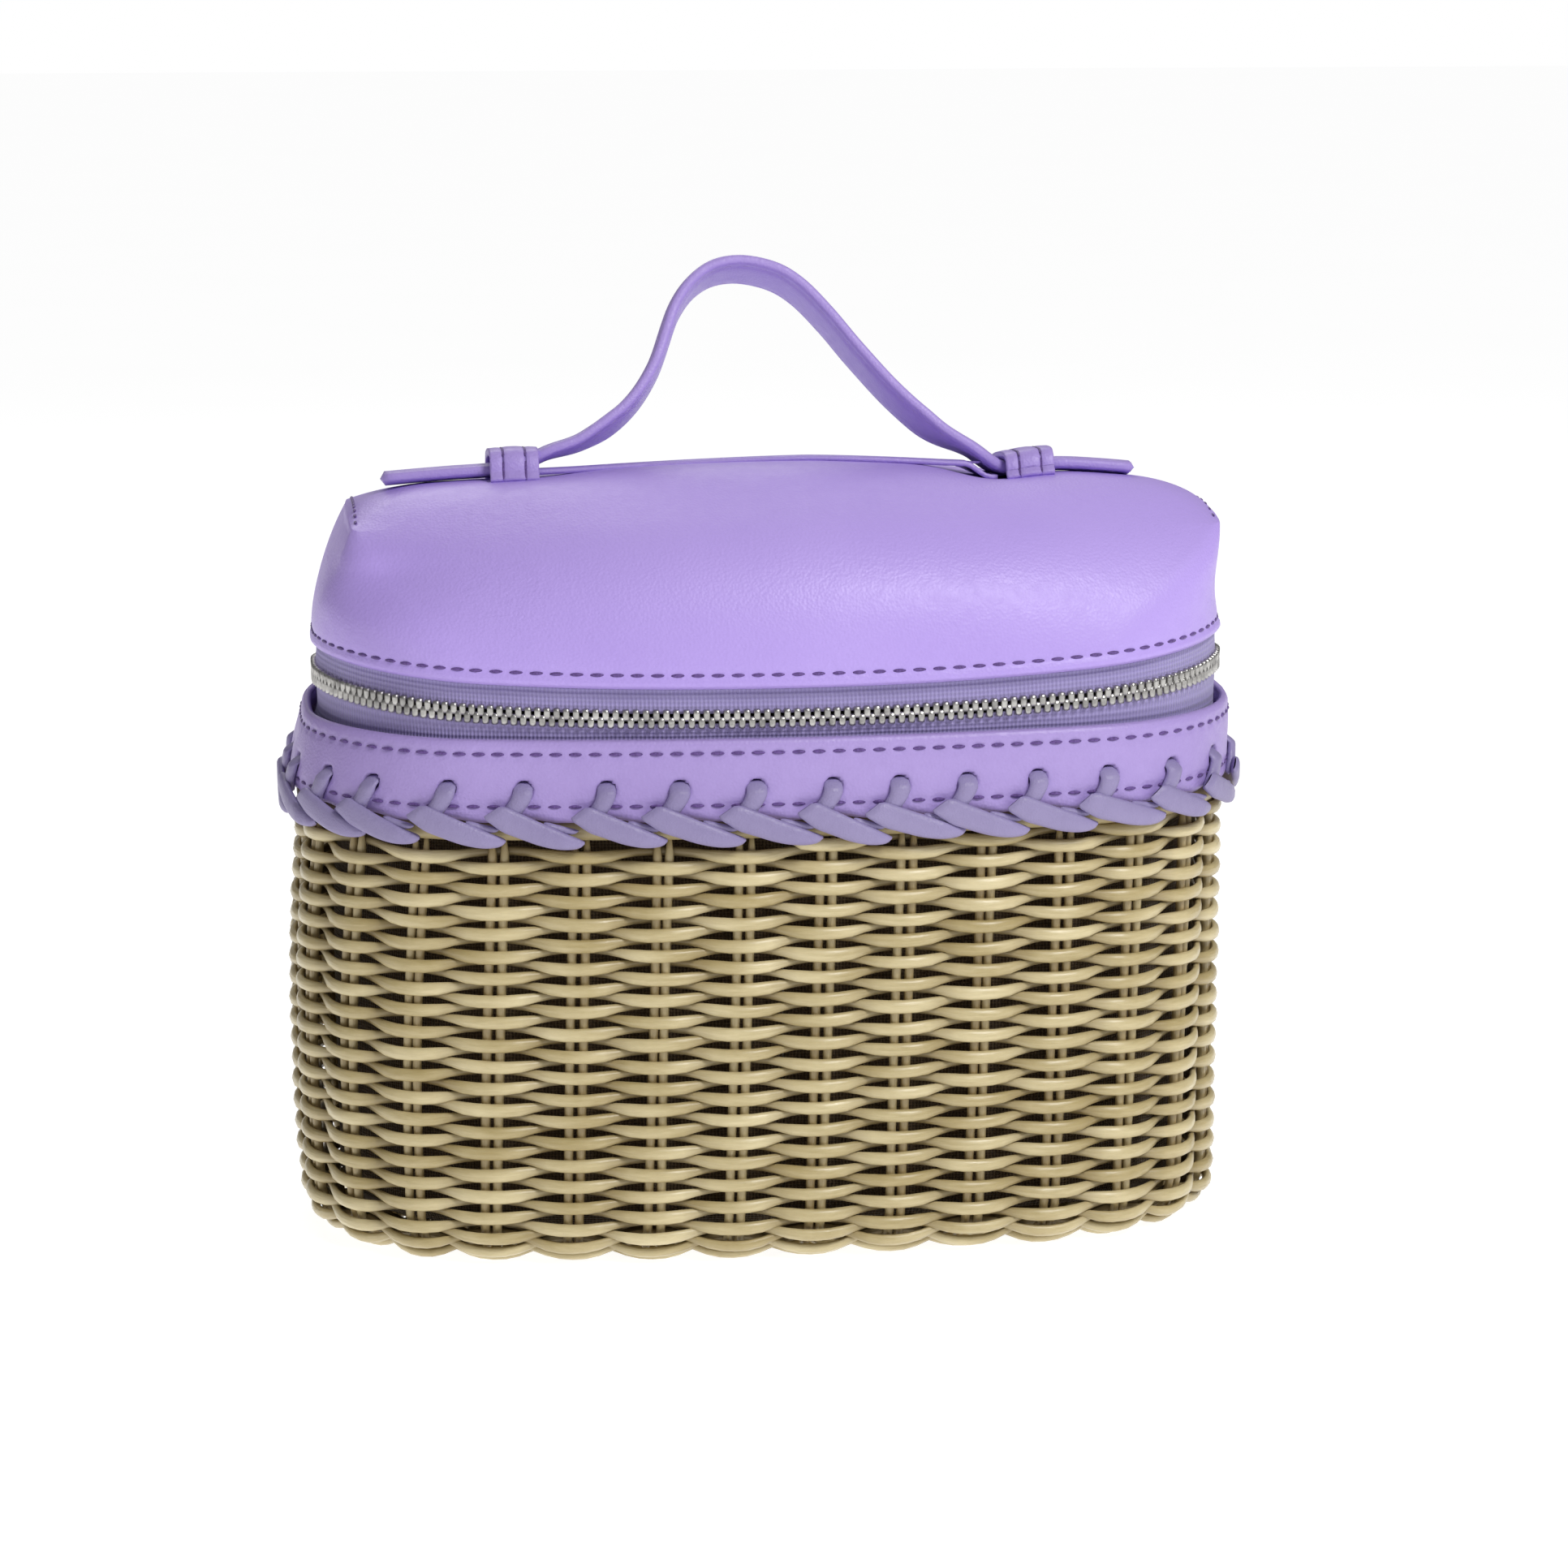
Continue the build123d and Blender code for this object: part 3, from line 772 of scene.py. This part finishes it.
# painted shade on the hoop, which sits under the thong
mark_points(hoop, "behind", 0.45)
ready(hoop, cane("cane_hoop", AROUND), "body", ("basket_rim_hoop",))

# %% [markdown]
# ## Collar
# The collar is a strip of the lid's leather, stitched along both edges, with a row of punched
# holes for the thong. It is a fine grid round the wall. Grooves pull it in at the stitches,
# the leather swells between them, and each hole is pushed through it.

# %% Collar
COLLAR_LOW, COLLAR_TOP = 97.2, 114.3
COLLAR_SEAMS = (100.3, 111.3)
HOLES = 34
HOLE_PITCH = AROUND / HOLES
HOLE_SEATS = (np.arange(HOLES) + 0.5) * HOLE_PITCH
# each hole is a little off its place, as cut by hand
HOLE_SEATS[:7] += (1.4, -0.3, -1.6, -2.0, -2.2, -1.8, -1.6)
HOLE_SEATS[28:] += (-2.2, -0.4, 0.0, 1.6, 1.0, 1.2)
HOLE_LEVEL, HOLE_RADIUS = 103.9, 2.05


def seam_dent(s, z, level):
    """How a row of stitches pulls leather in, with small swells between the stitches."""
    swell = 0.5 - 0.5 * np.cos(2 * PI * s / AROUND * ROUND_STITCHES + PI)
    return hill(z - level, 0.85) * (0.3 * swell - 0.42)


def hole_offset(s):
    """Distance along the wall from the nearest hole."""
    gaps = np.mod(s[..., None] - HOLE_SEATS + AROUND / 2, AROUND) - AROUND / 2
    return np.take_along_axis(gaps, np.abs(gaps).argmin(-1)[..., None], -1)[..., 0]


def collar_place(u, v):
    s = u * AROUND
    off = hole_offset(s)
    low = COLLAR_LOW + 0.45 * np.cos(2 * PI * off / HOLE_PITCH)
    z = low + (COLLAR_TOP - low) * v
    arched = np.sin(PI * v)
    out = 0.55 + 0.55 * arched**0.6 + 0.12 * np.sin(2 * PI * 8 * u) * arched
    out = out - 0.6 * hill(v, 0.035) - 0.6 * hill(1 - v, 0.035)
    for level in COLLAR_SEAMS:
        out = out + seam_dent(s, z, level)
    reach = np.hypot(off, z - HOLE_LEVEL)
    out = out - 0.35 * hill(reach, 3.6) - 2.4 * smooth((HOLE_RADIUS - reach) / 0.8)
    return settled(wall(s, out, z))


collar = grid("collar_leather", HOLES * 26, 26, collar_place)
thicken(collar, 1.3)
hole_middles = settled(wall(HOLE_SEATS % AROUND, 0.0, HOLE_LEVEL))
gaps = (coordinates(collar) / MM)[:, None] - hole_middles[None]
from_hole = np.sqrt((gaps**2).sum(-1)).min(1)
# the inside of each hole is marked for painted shade
mark_points(collar, "painted_hole_shade", smooth((HOLE_RADIUS + 0.05 - from_hole) / 0.5))
ready(collar, COLLAR_LEATHER_PAINTED_SHADE, "body", ("collar",))
for side, level in zip(("low", "high"), COLLAR_SEAMS):
    sew_wall(f"collar_stitches_{side}", "body", 0.72, level)

# %% [markdown]
# ## Lacing
# A flat thong comes out of each hole as a rounded drop, folds over at the rim and runs down
# to the right as a broad band with a pointed end, beside the turn of thong that goes on to
# the next hole. One drop, one band and one turn are shaped flat, and each copy is bent round
# the wall with a little of its own slant, as a hand leaves it.

# %% Thong shapes
TIP = 0.5  # where along a band it starts to narrow


def thong(name, upper, lower, belly, fat, out, columns):
    """A flat strip in the wall's own flat view: X along the wall, Y up, Z outward.
    upper holds the top edge's two ends, lower its left lower corner."""
    (ax, ay), (bx, by) = upper

    def lay(u, v):
        c, s = circle(v)
        q = 0.5 - 0.5 * squarer(c, 0.65)
        flat = squarer(s, 0.55)
        round_ends = np.sqrt(from_ends(u, columns / 1.6))
        drop = (ay - lower[1]) + belly * smooth(u / 0.25)
        drop = drop * np.sqrt(unit(1 - unit((u - TIP) / (1.01 - TIP)) ** 1.7))
        q = 0.5 + (q - 0.5) * (0.7 + 0.3 * round_ends)
        x = ax + (bx - ax) * u + q * (lower[0] - ax) * (1 - u)
        y = ay + (by - ay) * u - q * drop
        z = out(u) + 0.35 * np.sin(PI * q) * (flat > 0) + fat / 2 * flat * round_ends
        return xyz(x, y, z)

    return grid(name, columns, 14, lay, out=True)


def drop_shape(u, v):
    """The thong where it leaves its hole: from inside the collar, over the edge and down."""
    c, s = circle(v)
    half = 1.95 + 0.3 * u
    ends = np.sqrt(from_ends(u, 14))
    across = half * squarer(c, 0.8) * (0.55 + 0.45 * ends)
    thick = 0.85 * squarer(s, 0.8) * ends
    run = smooth(u / 0.32)
    y = 0.75 - 9.0 * unit(u - 0.1) ** 1.15
    x = -3.0 * smooth((u - 0.25) / 0.75) ** 1.3
    z = -0.9 + 2.5 * run - 0.35 * smooth((u - 0.6) / 0.4) + 0.3 * (s > 0) * (1 - np.abs(c))
    return xyz(x + across, y + thick * (1 - run), z + thick * run)


# %% Lace the collar
lace_dice = np.random.RandomState(7)
TILT = lace_dice.uniform(-0.06, 0.06, HOLES)
STRETCH = lace_dice.uniform(0.95, 1.08, HOLES)


def laced(k, points):
    """Copy k of a flat shape, tilted a little about its hole and bent round the wall."""
    x, y, z = points.T
    x, y = x * STRETCH[k] + TILT[k] * -y, y + TILT[k] * x
    return settled(wall(HOLE_SEATS[k] + x, z, HOLE_LEVEL + y))


band_model = thong("band", ((-4.0, -2.9), (12.8, -10.2)), (-8.0, -5.9), 1.3, 1.5,
                   lambda u: 2.75 - 0.35 * u - 0.9 * smooth((u - 0.72) / 0.28), 30)
drop_model = grid("drop", 18, 14, drop_shape, out=True)
turn_model = thong("under", ((4.6, -6.3), (11.5, -8.0)), (4.4, -7.6), 0.3, 1.1,
                   lambda u: 1.55 - 0.3 * u, 14)
for word, model, stands_for in (("bands", band_model, ("lacing",)), ("drops", drop_model, ()),
                                ("turns", turn_model, ())):
    thongs = copies(f"lacing_{word}", model, HOLES, laced)
    ready(thongs, THONG_LEATHER, "body", stands_for)

# %% [markdown]
# ## Zip
# The zip has a ribbed tape on the lid and one on the collar, and two rows of metal teeth that
# lock together. A tooth starts as a cube that is cut in nine on each side and rounded by a
# rule, and is then copied. The rows are half a pitch apart, so they mesh.

# %% Tapes
ZIP_LEVEL = 119.0
ZIP_HALF = float(ARC_LENGTHS[:3].sum()) + CORNER * math.radians(62)
SLIDER_ROOM = 11.8
UPPER_END = ZIP_HALF - SLIDER_ROOM
TAPE_FACE = -2.05
TAPE_DYE, TAPE_SHADE = (172, 161, 212), (152, 141, 192)


def tape(name, low, high, end, body, node):
    run = ZIP_HALF + end

    def lay(u, v):
        s = -ZIP_HALF + run * u
        z = low + (high - low) * v
        ripple = 0.12 * np.sin(s / 4.3) * np.sin(PI * v)
        return settled(wall(s, TAPE_FACE + ripple - 0.5 * hill(v - 0.5, 0.5), z))

    piece = grid(name, 300, 10, lay, closed=False)
    thicken(piece, 0.6)
    finish = woven(name + "_weave", TAPE_DYE, TAPE_SHADE, run / 0.9, (high - low) / 1.1)
    ready(piece, finish, body, (node,))


tape("zip_tape_low", 107.6, 117.9, ZIP_HALF, "body", "zip_tape_lower")
tape("zip_tape_high", 120.1, 131.0, UPPER_END, "lid", "zip_tape_upper")

# %% Teeth
TOOTH, UP = np.array((1.45, 2.5, 2.4)), np.array((0.0, 0.0, 1.0))
TOOTH_STEP = 2 * ZIP_HALF / round(2 * ZIP_HALF / 2.1)


def tooth_model():
    """One tooth: X along the zip, Y from its foot to its head, Z outward."""
    model = added(bpy.ops.mesh.primitive_cube_add, size=2)
    edit(lambda: bpy.ops.mesh.subdivide(number_cuts=2))
    x, y, z = coordinates(model).T
    ball = np.sqrt(np.clip(1 - 0.16 * (x**2 + y**2 + z**2 - 1), 0.2, 1.2))
    head = 1 + 0.22 * hill(y - 0.75, 0.45) - 0.2 * hill(y - 0.1, 0.4)
    foot = 1 + 0.12 * smooth(-y)
    place_points(model, xyz(x * ball * head, y * ball, z * ball * foot) * TOOTH / 2)
    return model


def teeth(name, way, shift, end, body, node):
    """way is 1 for the lid's row and -1 for the collar's."""
    count = int((ZIP_HALF + end - shift * TOOTH_STEP) / TOOTH_STEP)
    s = -ZIP_HALF + (np.arange(count) + 0.5 + shift) * TOOTH_STEP
    along, out = seat_frame(s)
    middles = settled(wall(s, -2.4, ZIP_LEVEL + way * 0.8))

    def lay(k, points):
        x, y, z = points.T[:, :, None]
        return middles[k] + x * along[k] - way * y * UP + z * out[k]

    piece = copies(name, tooth_model(), count, lay)
    if way > 0:
        pick(piece)
        edit(face_out)
    ready(piece, ZIP_METAL, body, (node,))


teeth("zip_teeth_low", -1, 0.0, ZIP_HALF, "body", "zip_teeth_lower")
teeth("zip_teeth_high", 1, 0.5, UPPER_END, "lid", "zip_teeth_upper")
for node in ("zip_slider", "zip_pull"):
    nodes[node].data.materials.clear()
    nodes[node].data.materials.append(ZIP_METAL)

# %% [markdown]
# ## Linings
# Inside, brown cotton lines the basket as a pouch and the lid as a cap. Both are grids that
# run round the wall and then close over a line along the middle, as the lid's leather does.

# %% Pouch and hinge
LINING = woven("lining_cotton", (128, 108, 82), (92, 74, 52), 700.0, 260.0, 0.9)
POUCH_OUT, POUCH_FLOOR, POUCH_TOP = -8.6, 6.6, 112.0
POUCH_SIDE = 0.62  # the share of the cloth that is its side
HINGE_LOW, HINGE_TALL = 108.3, 22.0
LID_STITCH_LEVEL = 128.4
HINGE_SEAMS = (("low", 110.4, "body", 2.55), ("high", LID_STITCH_LEVEL, "lid", 1.7))


def pouch_place(u, v):
    s = u * AROUND
    k, share = arc_at(s)
    side = unit(v / POUCH_SIDE)
    down = smooth(side) * 0.15 + side * 0.85
    inward = unit((v - POUCH_SIDE) / (1 - POUCH_SIDE))
    z = POUCH_TOP + (POUCH_FLOOR - POUCH_TOP) * down
    fold = 0.45 * np.sin(s / 9.5 + 2.2 * np.sin(z / 31)) * np.sin(PI * down)
    out = POUCH_OUT + fold + 5.2 * (1 - smooth((POUCH_TOP - z) / 4.5))
    out = out - 3 * (1 - smooth((z - POUCH_FLOOR) / 5))
    x, y = on_arcs(WALL, k, share, out)
    x, y = x * (1 - inward * 0.42), y * (1 - inward)
    return settled(xyz(x, y, z + 0.35 * inward * np.sin(x / 13)))


pouch = grid("basket_lining_cloth", 220, 60, pouch_place)
thicken(pouch, 0.5)
ready(pouch, LINING, "body", ("basket_lining",))


def hinge_place(u, v):
    s = ZIP_HALF - 1 + (AROUND - 2 * ZIP_HALF + 2) * u
    z = HINGE_LOW + HINGE_TALL * v
    out = 1.55 - 0.9 * smooth((z - 113) / 8) + 0.2 * np.sin(PI * v)
    for _, level, _, _ in HINGE_SEAMS:
        out = out + seam_dent(s, z, level)
    return settled(wall(s, out + 1.0, z))


hinge = grid("lid_hinge_leather", 150, 26, hinge_place, closed=False)
thicken(hinge, 1.2)
# the hinge strip takes the collar's leather, which is painted darker as shade
ready(hinge, COLLAR_LEATHER_PAINTED_SHADE, None, ("hinge_strip",))
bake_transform(hinge)
for side, level, body, out in HINGE_SEAMS:
    sew_wall(f"hinge_stitches_{side}", body, out, level, ZIP_HALF, AROUND - ZIP_HALF)

# %% [markdown]
# ## The lid's leather
# The lid is a soft loaf. Its front and back run over the top in one piece, and an end panel
# is sewn in on each side, so the four upper corners are drawn to a point. The rule below
# narrows the corner's roundness from the hem up to that point, and above it puffs the top up
# from the end seam. The hem has a stitched groove.

# %% The lid's rule
HEM, PINCH, CREST = 125.5, 159.0, 164.9
LOAF = 2.4
RIDGE_LENGTH = 91.0
TOP_TILT = 0.14
END_ROUND = 18.0  # how far in from the ends the top rises


def loaf(share):
    """The loaf's section: how wide it is at a share of its height, or the other way about."""
    return (1 - share**LOAF) ** (1 / LOAF)


RIDGE_DEPTH = HALF_DEPTH * loaf((PINCH - HEM) / (CREST - HEM))
RIDGE = outline_arcs(RIDGE_LENGTH, RIDGE_DEPTH, 3.0)
WALL_ROWS, ROOF_ROWS = 44, 28


def top_drop(x):
    """How far the crest falls towards the ends."""
    from_top = np.abs(x - 10)
    return np.where(x < 10, 2.0 * (from_top / 55) ** 1.5, 2.9 * (from_top / 50) ** 1.4)


def end_reach(x, t):
    """How far out the lid's end is, from its hem, t 0, to its points, t 1."""
    return np.where(x < 0, 97.2 - 7.7 * t**2.2, 100.2 - 2.4 * np.sin(PI * t) - 2.0 * t)


def from_middle(x, y):
    """y as a share of the way to the lid's front or back edge, which bows a little."""
    bow = FRONT_BOW - np.sqrt(FRONT_BOW**2 - (x * RIDGE_LENGTH / end_reach(x, 1.0)) ** 2)
    return np.clip(y / (RIDGE_DEPTH - bow), -1, 1)


def crest_height(x, y):
    """The lid's top before it is dented."""
    share = np.abs(from_middle(x, y)) * RIDGE_DEPTH / HALF_DEPTH
    tilt = TOP_TILT * y * (1 - from_middle(x, y) ** 2) ** 2
    return HEM + (CREST - HEM) * loaf(share) - top_drop(x) - tilt


def dents(x, y):
    right = 3.0 * hill(x - 50, 10) * hill(y + 6, 22)
    left = 1.0 * hill(x + 48, 12) * hill(y, 24)
    inside = (1 - from_middle(x, y) ** 2) ** 2
    return (right + left + 0.4 * np.sin(x / 17) * hill(y + 20, 22)) * inside


def lid_wall(s, t, inset=0.0):
    """The lid's side from the hem, t 0, to the points at the corners, t 1."""
    k, share = arc_at(s)
    x0, y0 = on_arcs(WALL, k, share, -inset)
    x1, y1 = on_arcs(RIDGE, k, share, -min(inset, 2.9))
    z = HEM + (PINCH - HEM) * t
    depth = HALF_DEPTH * loaf((z - HEM) / (CREST - HEM))
    point = t**1.15
    x = x0 / HALF_LENGTH * (1 - point) + x1 / RIDGE_LENGTH * point
    x = x * end_reach(x, t)
    y = (y0 / HALF_DEPTH * (1 - point) + y1 / RIDGE_DEPTH * point) * depth
    z = z - (top_drop(x) + 0.3 * inset) * smooth(t)
    return xyz(x, y, z + zip_lift(x, y) * (1 - smooth(t)))


def puffed(x, y, from_end, dent=0.0):
    """The top's height a share of END_ROUND in from an end, with its dents."""
    low = PINCH - top_drop(x)
    return low + (crest_height(x, y) - low - dent) * rounded(from_end)


def roof(s, h, inset=0.0):
    """The lid's top from its edge, h 0, to the line along its middle, h 1."""
    edge = lid_wall(s, np.ones_like(s), inset)
    inward = h**1.7
    x = edge[..., 0] * (1 - 0.34 * inward)
    y = edge[..., 1] * (1 - inward)
    from_end = unit((end_reach(x, 1.0) - inset - np.abs(x)) / END_ROUND)
    z = puffed(x, y, from_end, dents(x, y))
    return xyz(x, y, z - inset * (0.75 + 0.25 * np.sqrt(h)))


def lid_place(u, v, inset=0.0):
    """A point of the leather, or of a plain lining some way inside it."""
    s = u * AROUND
    split = WALL_ROWS / (WALL_ROWS + ROOF_ROWS)
    t = unit(v / split)
    h = unit((v - split) / (1 - split))
    point = np.where((v <= split + 1e-6)[:, None], lid_wall(s, t, inset), roof(s, h, inset))
    if inset:
        return point
    z = HEM + (PINCH - HEM) * t
    out = seam_dent(s, z, LID_STITCH_LEVEL) + 0.3 * hill(z - 126.6, 1.0) - 0.5 * hill(z - HEM, 0.5)
    corner = hill(point[:, 0] + 84, 12) * hill(point[:, 1] + 36, 14)
    out = out - 3.0 * corner * hill(z - 148, 9) * (1 - smooth((t - 0.7) / 0.3))
    out = out + 0.3 * np.sin(2 * PI * 5 * u + 1) * np.sin(PI * t) ** 2
    return point + outward(s) * (out * (v <= split))[:, None]


# %% Make the lid
LINING_INSET = 3.0
SEAM_IN = 2.0  # the end seam, in from the end
lid = grid("lid_leather_cover", 260, WALL_ROWS + ROOF_ROWS, lid_place)
thicken(lid, 1.5)
ready(lid, LID_LEATHER, "lid", ("lid_cover",))
lid_lining = grid("lid_lining_cloth", 160, 50, lambda u, v: lid_place(u, v, LINING_INSET))
thicken(lid_lining, 0.4)
ready(lid_lining, LINING, "lid", ("lid_lining",))
s = (np.arange(ROUND_STITCHES) + 0.5) * AROUND / ROUND_STITCHES
along, facing = seat_frame(s)
seam = lid_wall(s, np.full(len(s), (LID_STITCH_LEVEL - HEM) / (PINCH - HEM)))
sew("lid_hem_stitches", "lid", seam - 0.25 * facing, along, facing)


def alike(direction, places):
    """The same direction at every place."""
    return np.array([direction] * len(places), float)


# the seam over each end panel is just above its edge
y = np.linspace(-20, 20, 11)
for word, side in (("left", -1), ("right", 1)):
    x = np.full_like(y, side * (float(end_reach(side, 1.0)) - SEAM_IN))
    middles = xyz(x, y, puffed(x, y, SEAM_IN / END_ROUND) - 0.15)
    facing = alike((side * 0.85, 0, 0.53), y)
    sew(f"lid_end_stitches_{word}", "lid", middles, alike((0, 1, 0), y), facing)

# %% [markdown]
# ## Strap handle
# One flat strap makes the handle. Its ends lie on the lid and are held by two sewn keepers,
# and between them it rises in an arch that leans back. It is a tube with a flat section that
# follows a smooth line, and its section turns from the lid's tilt to the arch's lean where it rises.

# %% The strap's line
STRAP_WIDTH, STRAP_THICK, STRAP_SEAM = 16.0, 2.7, 6.1
AXIS_LEVEL = 168.0
STRAP_LEAN = math.radians(22)
ARCH = ((-46, -1.0), (-38, 1.6), (-29, 7.6), (-22.5, 16.6), (-17, 30.5), (-11, 37.4), (-4, 39.6),
        (4, 38.2), (10, 34.5), (16, 27.9), (22, 20.1), (30, 10.6), (38, 3.2), (46, -1.4))
TAIL = ((81.7, 0.2), (74.0, 0.25), (66.0, 0.3), (59.0, 0.5), (52.5, 1.2))
KEEPERS = (("left", -53.4, 1.3), ("right", 58.0, 1.05))


def lid_top(x):
    """The lid's height under the strap's middle."""
    return crest_height(x, 0.0) - dents(x, 0.0)


def smooth_line(knots, steps=40):
    """A Catmull-Rom line through knots, then respaced to equal steps of length."""
    padded = np.concatenate([2 * knots[:1] - knots[1:2], knots, 2 * knots[-1:] - knots[-2:-1]])
    parts = []
    for a, b, c, d in zip(padded, padded[1:], padded[2:], padded[3:]):
        t = np.linspace(0, 1, steps, endpoint=False)[:, None]
        bend, twist = 2 * a - 5 * b + 4 * c - d, 3 * b - a - 3 * c + d
        parts.append(0.5 * (2 * b + (c - a) * t + bend * t**2 + twist * t**3))
    points = np.concatenate(parts + [knots[-1:]])
    run = np.concatenate([[0], np.cumsum(np.linalg.norm(np.diff(points, axis=0), axis=1))])
    even = np.linspace(0, run[-1], 401)
    return np.stack([np.interp(even, run, column) for column in points.T], -1), run[-1]


def on_line(line, share):
    """Points and slopes at shares of an evenly spaced line."""
    where = unit(share) * (len(line) - 1)
    return (np.stack([np.interp(where, np.arange(len(line)), column) for column in values.T], -1)
            for values in (line, np.gradient(line, axis=0)))


left, right = ([(side * x, 0, float(lid_top(side * x)) + lift + STRAP_THICK / 2) for x, lift in TAIL]
               for side in (-1, 1))
arch = [(x, h * math.sin(STRAP_LEAN), AXIS_LEVEL + h * math.cos(STRAP_LEAN)) for x, h in ARCH]
STRAP_LINE, STRAP_LENGTH = smooth_line(np.array(left + arch + right[::-1]))
print("the strap is", round(STRAP_LENGTH), "mm long")


def heading(v):
    return v / np.linalg.norm(v, axis=-1, keepdims=True)


def along_strap(share):
    """The strap's middle at shares of its length, and directions along, across and off it."""
    middle, along = on_line(STRAP_LINE, share)
    along = heading(along)
    risen = smooth((middle[..., 2] - AXIS_LEVEL + 3) / 8)
    lean = STRAP_LEAN * risen + TOP_TILT * (1 - risen)
    across = xyz(0 * lean, np.cos(lean), -np.sin(lean))
    across = heading(across - (across * along).sum(-1, keepdims=True) * along)
    return middle, along, across, np.cross(along, across)


# %% Shape the strap
def strap_place(u, v):
    middle, _, across, off = along_strap(u)
    c, s = circle(v)
    wide, thick = squarer(c, 0.45), squarer(s, 0.55)
    ends = rounded(from_ends(u, STRAP_LENGTH / 3.0))
    half = STRAP_WIDTH / 2 * (0.72 + 0.28 * ends)
    crown = 0.22 * (1 - wide**2) - 0.22 * hill(np.abs(wide) - 0.76, 0.07)
    depth = STRAP_THICK / 2 * np.abs(thick) + crown * (np.abs(thick) > 0.5)
    depth = depth * np.sign(thick) * (ends > 0.02)
    return middle + across * (wide * half)[:, None] + off * depth[:, None]


def blend_strap(piece):
    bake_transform(piece)


strap = grid("handle_strap_leather", 200, 44, strap_place, out=True)
ready(strap, STRAP_LEATHER, None, ("handle_strap", "handle_strap_ends"))
blend_strap(strap)


def joined(rows):
    """Rows of stitches as one: their middles, directions along and directions out."""
    return [np.concatenate(parts) for parts in zip(*rows)]


# stitches run near both edges of both faces
count = round((STRAP_LENGTH - 6) / STITCH_PITCH)
share = (3 + (np.arange(count) + 0.5) * (STRAP_LENGTH - 6) / count) / STRAP_LENGTH
middle, along, across, off = along_strap(share)
aside, sunk = across * STRAP_SEAM, off * (STRAP_THICK / 2 - 0.42)
rows = [(middle + aside * side + sunk * face, along, off * face)
        for side in (1, -1) for face in (1, -1)]
blend_strap(sew("handle_stitches", None, *joined(rows), STRAP_THREAD, 0.8))

# %% [markdown]
# ## Keepers and base strip
# Each keeper is a leather loop, wide along the strap, that goes over it from front to back
# with its feet sewn to the lid, and carries two rows of stitches. A thin strip lies flat on
# the lid under the arch and is sewn along both edges.

# %% Keepers
KEEPER_LENGTH, KEEPER_THICK = 10.2, 1.5
KEEPER_SIDE = [(11.4, -0.6), (10.4, 0.2), (9.5, 1.0), (9.1, 2.2), (8.4, 3.2), (7.0, 3.7)]
KEEPER_KNOTS = [(-y, z) for y, z in KEEPER_SIDE] + [(0.0, 4.0)] + KEEPER_SIDE[::-1]
KEEPER_LINE, _ = smooth_line(np.array(KEEPER_KNOTS), 10)
KEEPER_SEAMS = (0.27, 0.73)


def on_keeper(x, tall, along, share, lift):
    """A keeper's point: along, from its middle towards +X, round it and off its inner face."""
    (y, z), slopes = (values.T for values in on_line(KEEPER_LINE, share))
    ty, tz = slopes / np.hypot(*slopes)
    slope = float(lid_top(x + 6) - lid_top(x - 6)) / 12
    level = float(lid_top(x)) + slope * along - TOP_TILT * y - 0.003 * y**2
    return xyz(x + along, y - tz * lift, level + z * tall + ty * lift)


def make_keeper(word, x, tall):
    def lay(u, v):
        puff = 0.3 * np.sin(PI * v) - 0.35 * sum(hill(v - seam, 0.05) for seam in KEEPER_SEAMS)
        return on_keeper(x, tall, KEEPER_LENGTH * (v - 0.5), u, puff)

    piece = grid(f"keeper_leather_{word}", 64, 20, lay, closed=False)
    pick(piece)
    edit(lambda: bpy.ops.mesh.flip_normals())
    thicken(piece, KEEPER_THICK, 1.0)
    ready(piece, STRAP_LEATHER, "lid", (f"keeper_{word}",))
    share = np.linspace(0.05, 0.95, 13)
    rows = []
    for seam in KEEPER_SEAMS:
        v = np.full_like(share, seam)
        middle = lay(share, v)
        along = heading(lay(share + 0.005, v) - middle)
        out = np.cross((1, 0, 0), along)
        rows.append((middle + out * (KEEPER_THICK + 0.05), along, out))
    sew(f"keeper_stitches_{word}", "lid", *joined(rows), share=0.7)


for keeper in KEEPERS:
    make_keeper(*keeper)

# %% Base strip
BASE_HALF, BASE_WIDE, BASE_THICK, BASE_SEAM = 51.3, 16.0, 1.0, 6.2


def base_place(u, v):
    x = BASE_HALF * (2 * u - 1)
    y = BASE_WIDE * (v - 0.5)
    curl = 0.5 * smooth((np.abs(x) - 38) / 14)
    edge = 0.25 * (hill(v, 0.06) + hill(1 - v, 0.06))
    ground = crest_height(x, y) - dents(x, y) * smooth((x - 44) / 6)
    return xyz(x, y, ground + 0.9 - edge + 0.4 * curl)


base = grid("handle_base_leather", 90, 16, base_place, closed=False)
thicken(base, BASE_THICK)
ready(base, STRAP_LEATHER, "lid", ("handle_base_strip",))
x = np.tile(np.arange(-46, 47, STITCH_PITCH), 2)
y = np.repeat([-BASE_SEAM, BASE_SEAM], len(x) // 2)
middles = xyz(x, y, crest_height(x, y) + 0.65)
sew("base_stitches", "lid", middles, alike((1, 0, 0), x), alike((0, 0, 1), x), STRAP_THREAD, 0.8)

# %% [markdown]
# ## Floor and finish
# The bag stands on a plain pale floor.

# %% Floor, sizes and finish
FLOOR_SIZE, FLOOR_GLOW = 12, 0.9
floor = added(bpy.ops.mesh.primitive_plane_add, size=FLOOR_SIZE, location=(0, 0, 0))
floor.name = "floor"
paint = Paint("pale_floor", Roughness=0.9, Emission_Color=WHITE, Emission_Strength=FLOOR_GLOW)
speck = paint.noise(paint.place(), 8.0, 2.0)
paint.set("Base Color", paint.mix(speck, srgb(158, 158, 158), srgb(150, 150, 150)))
floor.data.materials.append(paint.material)
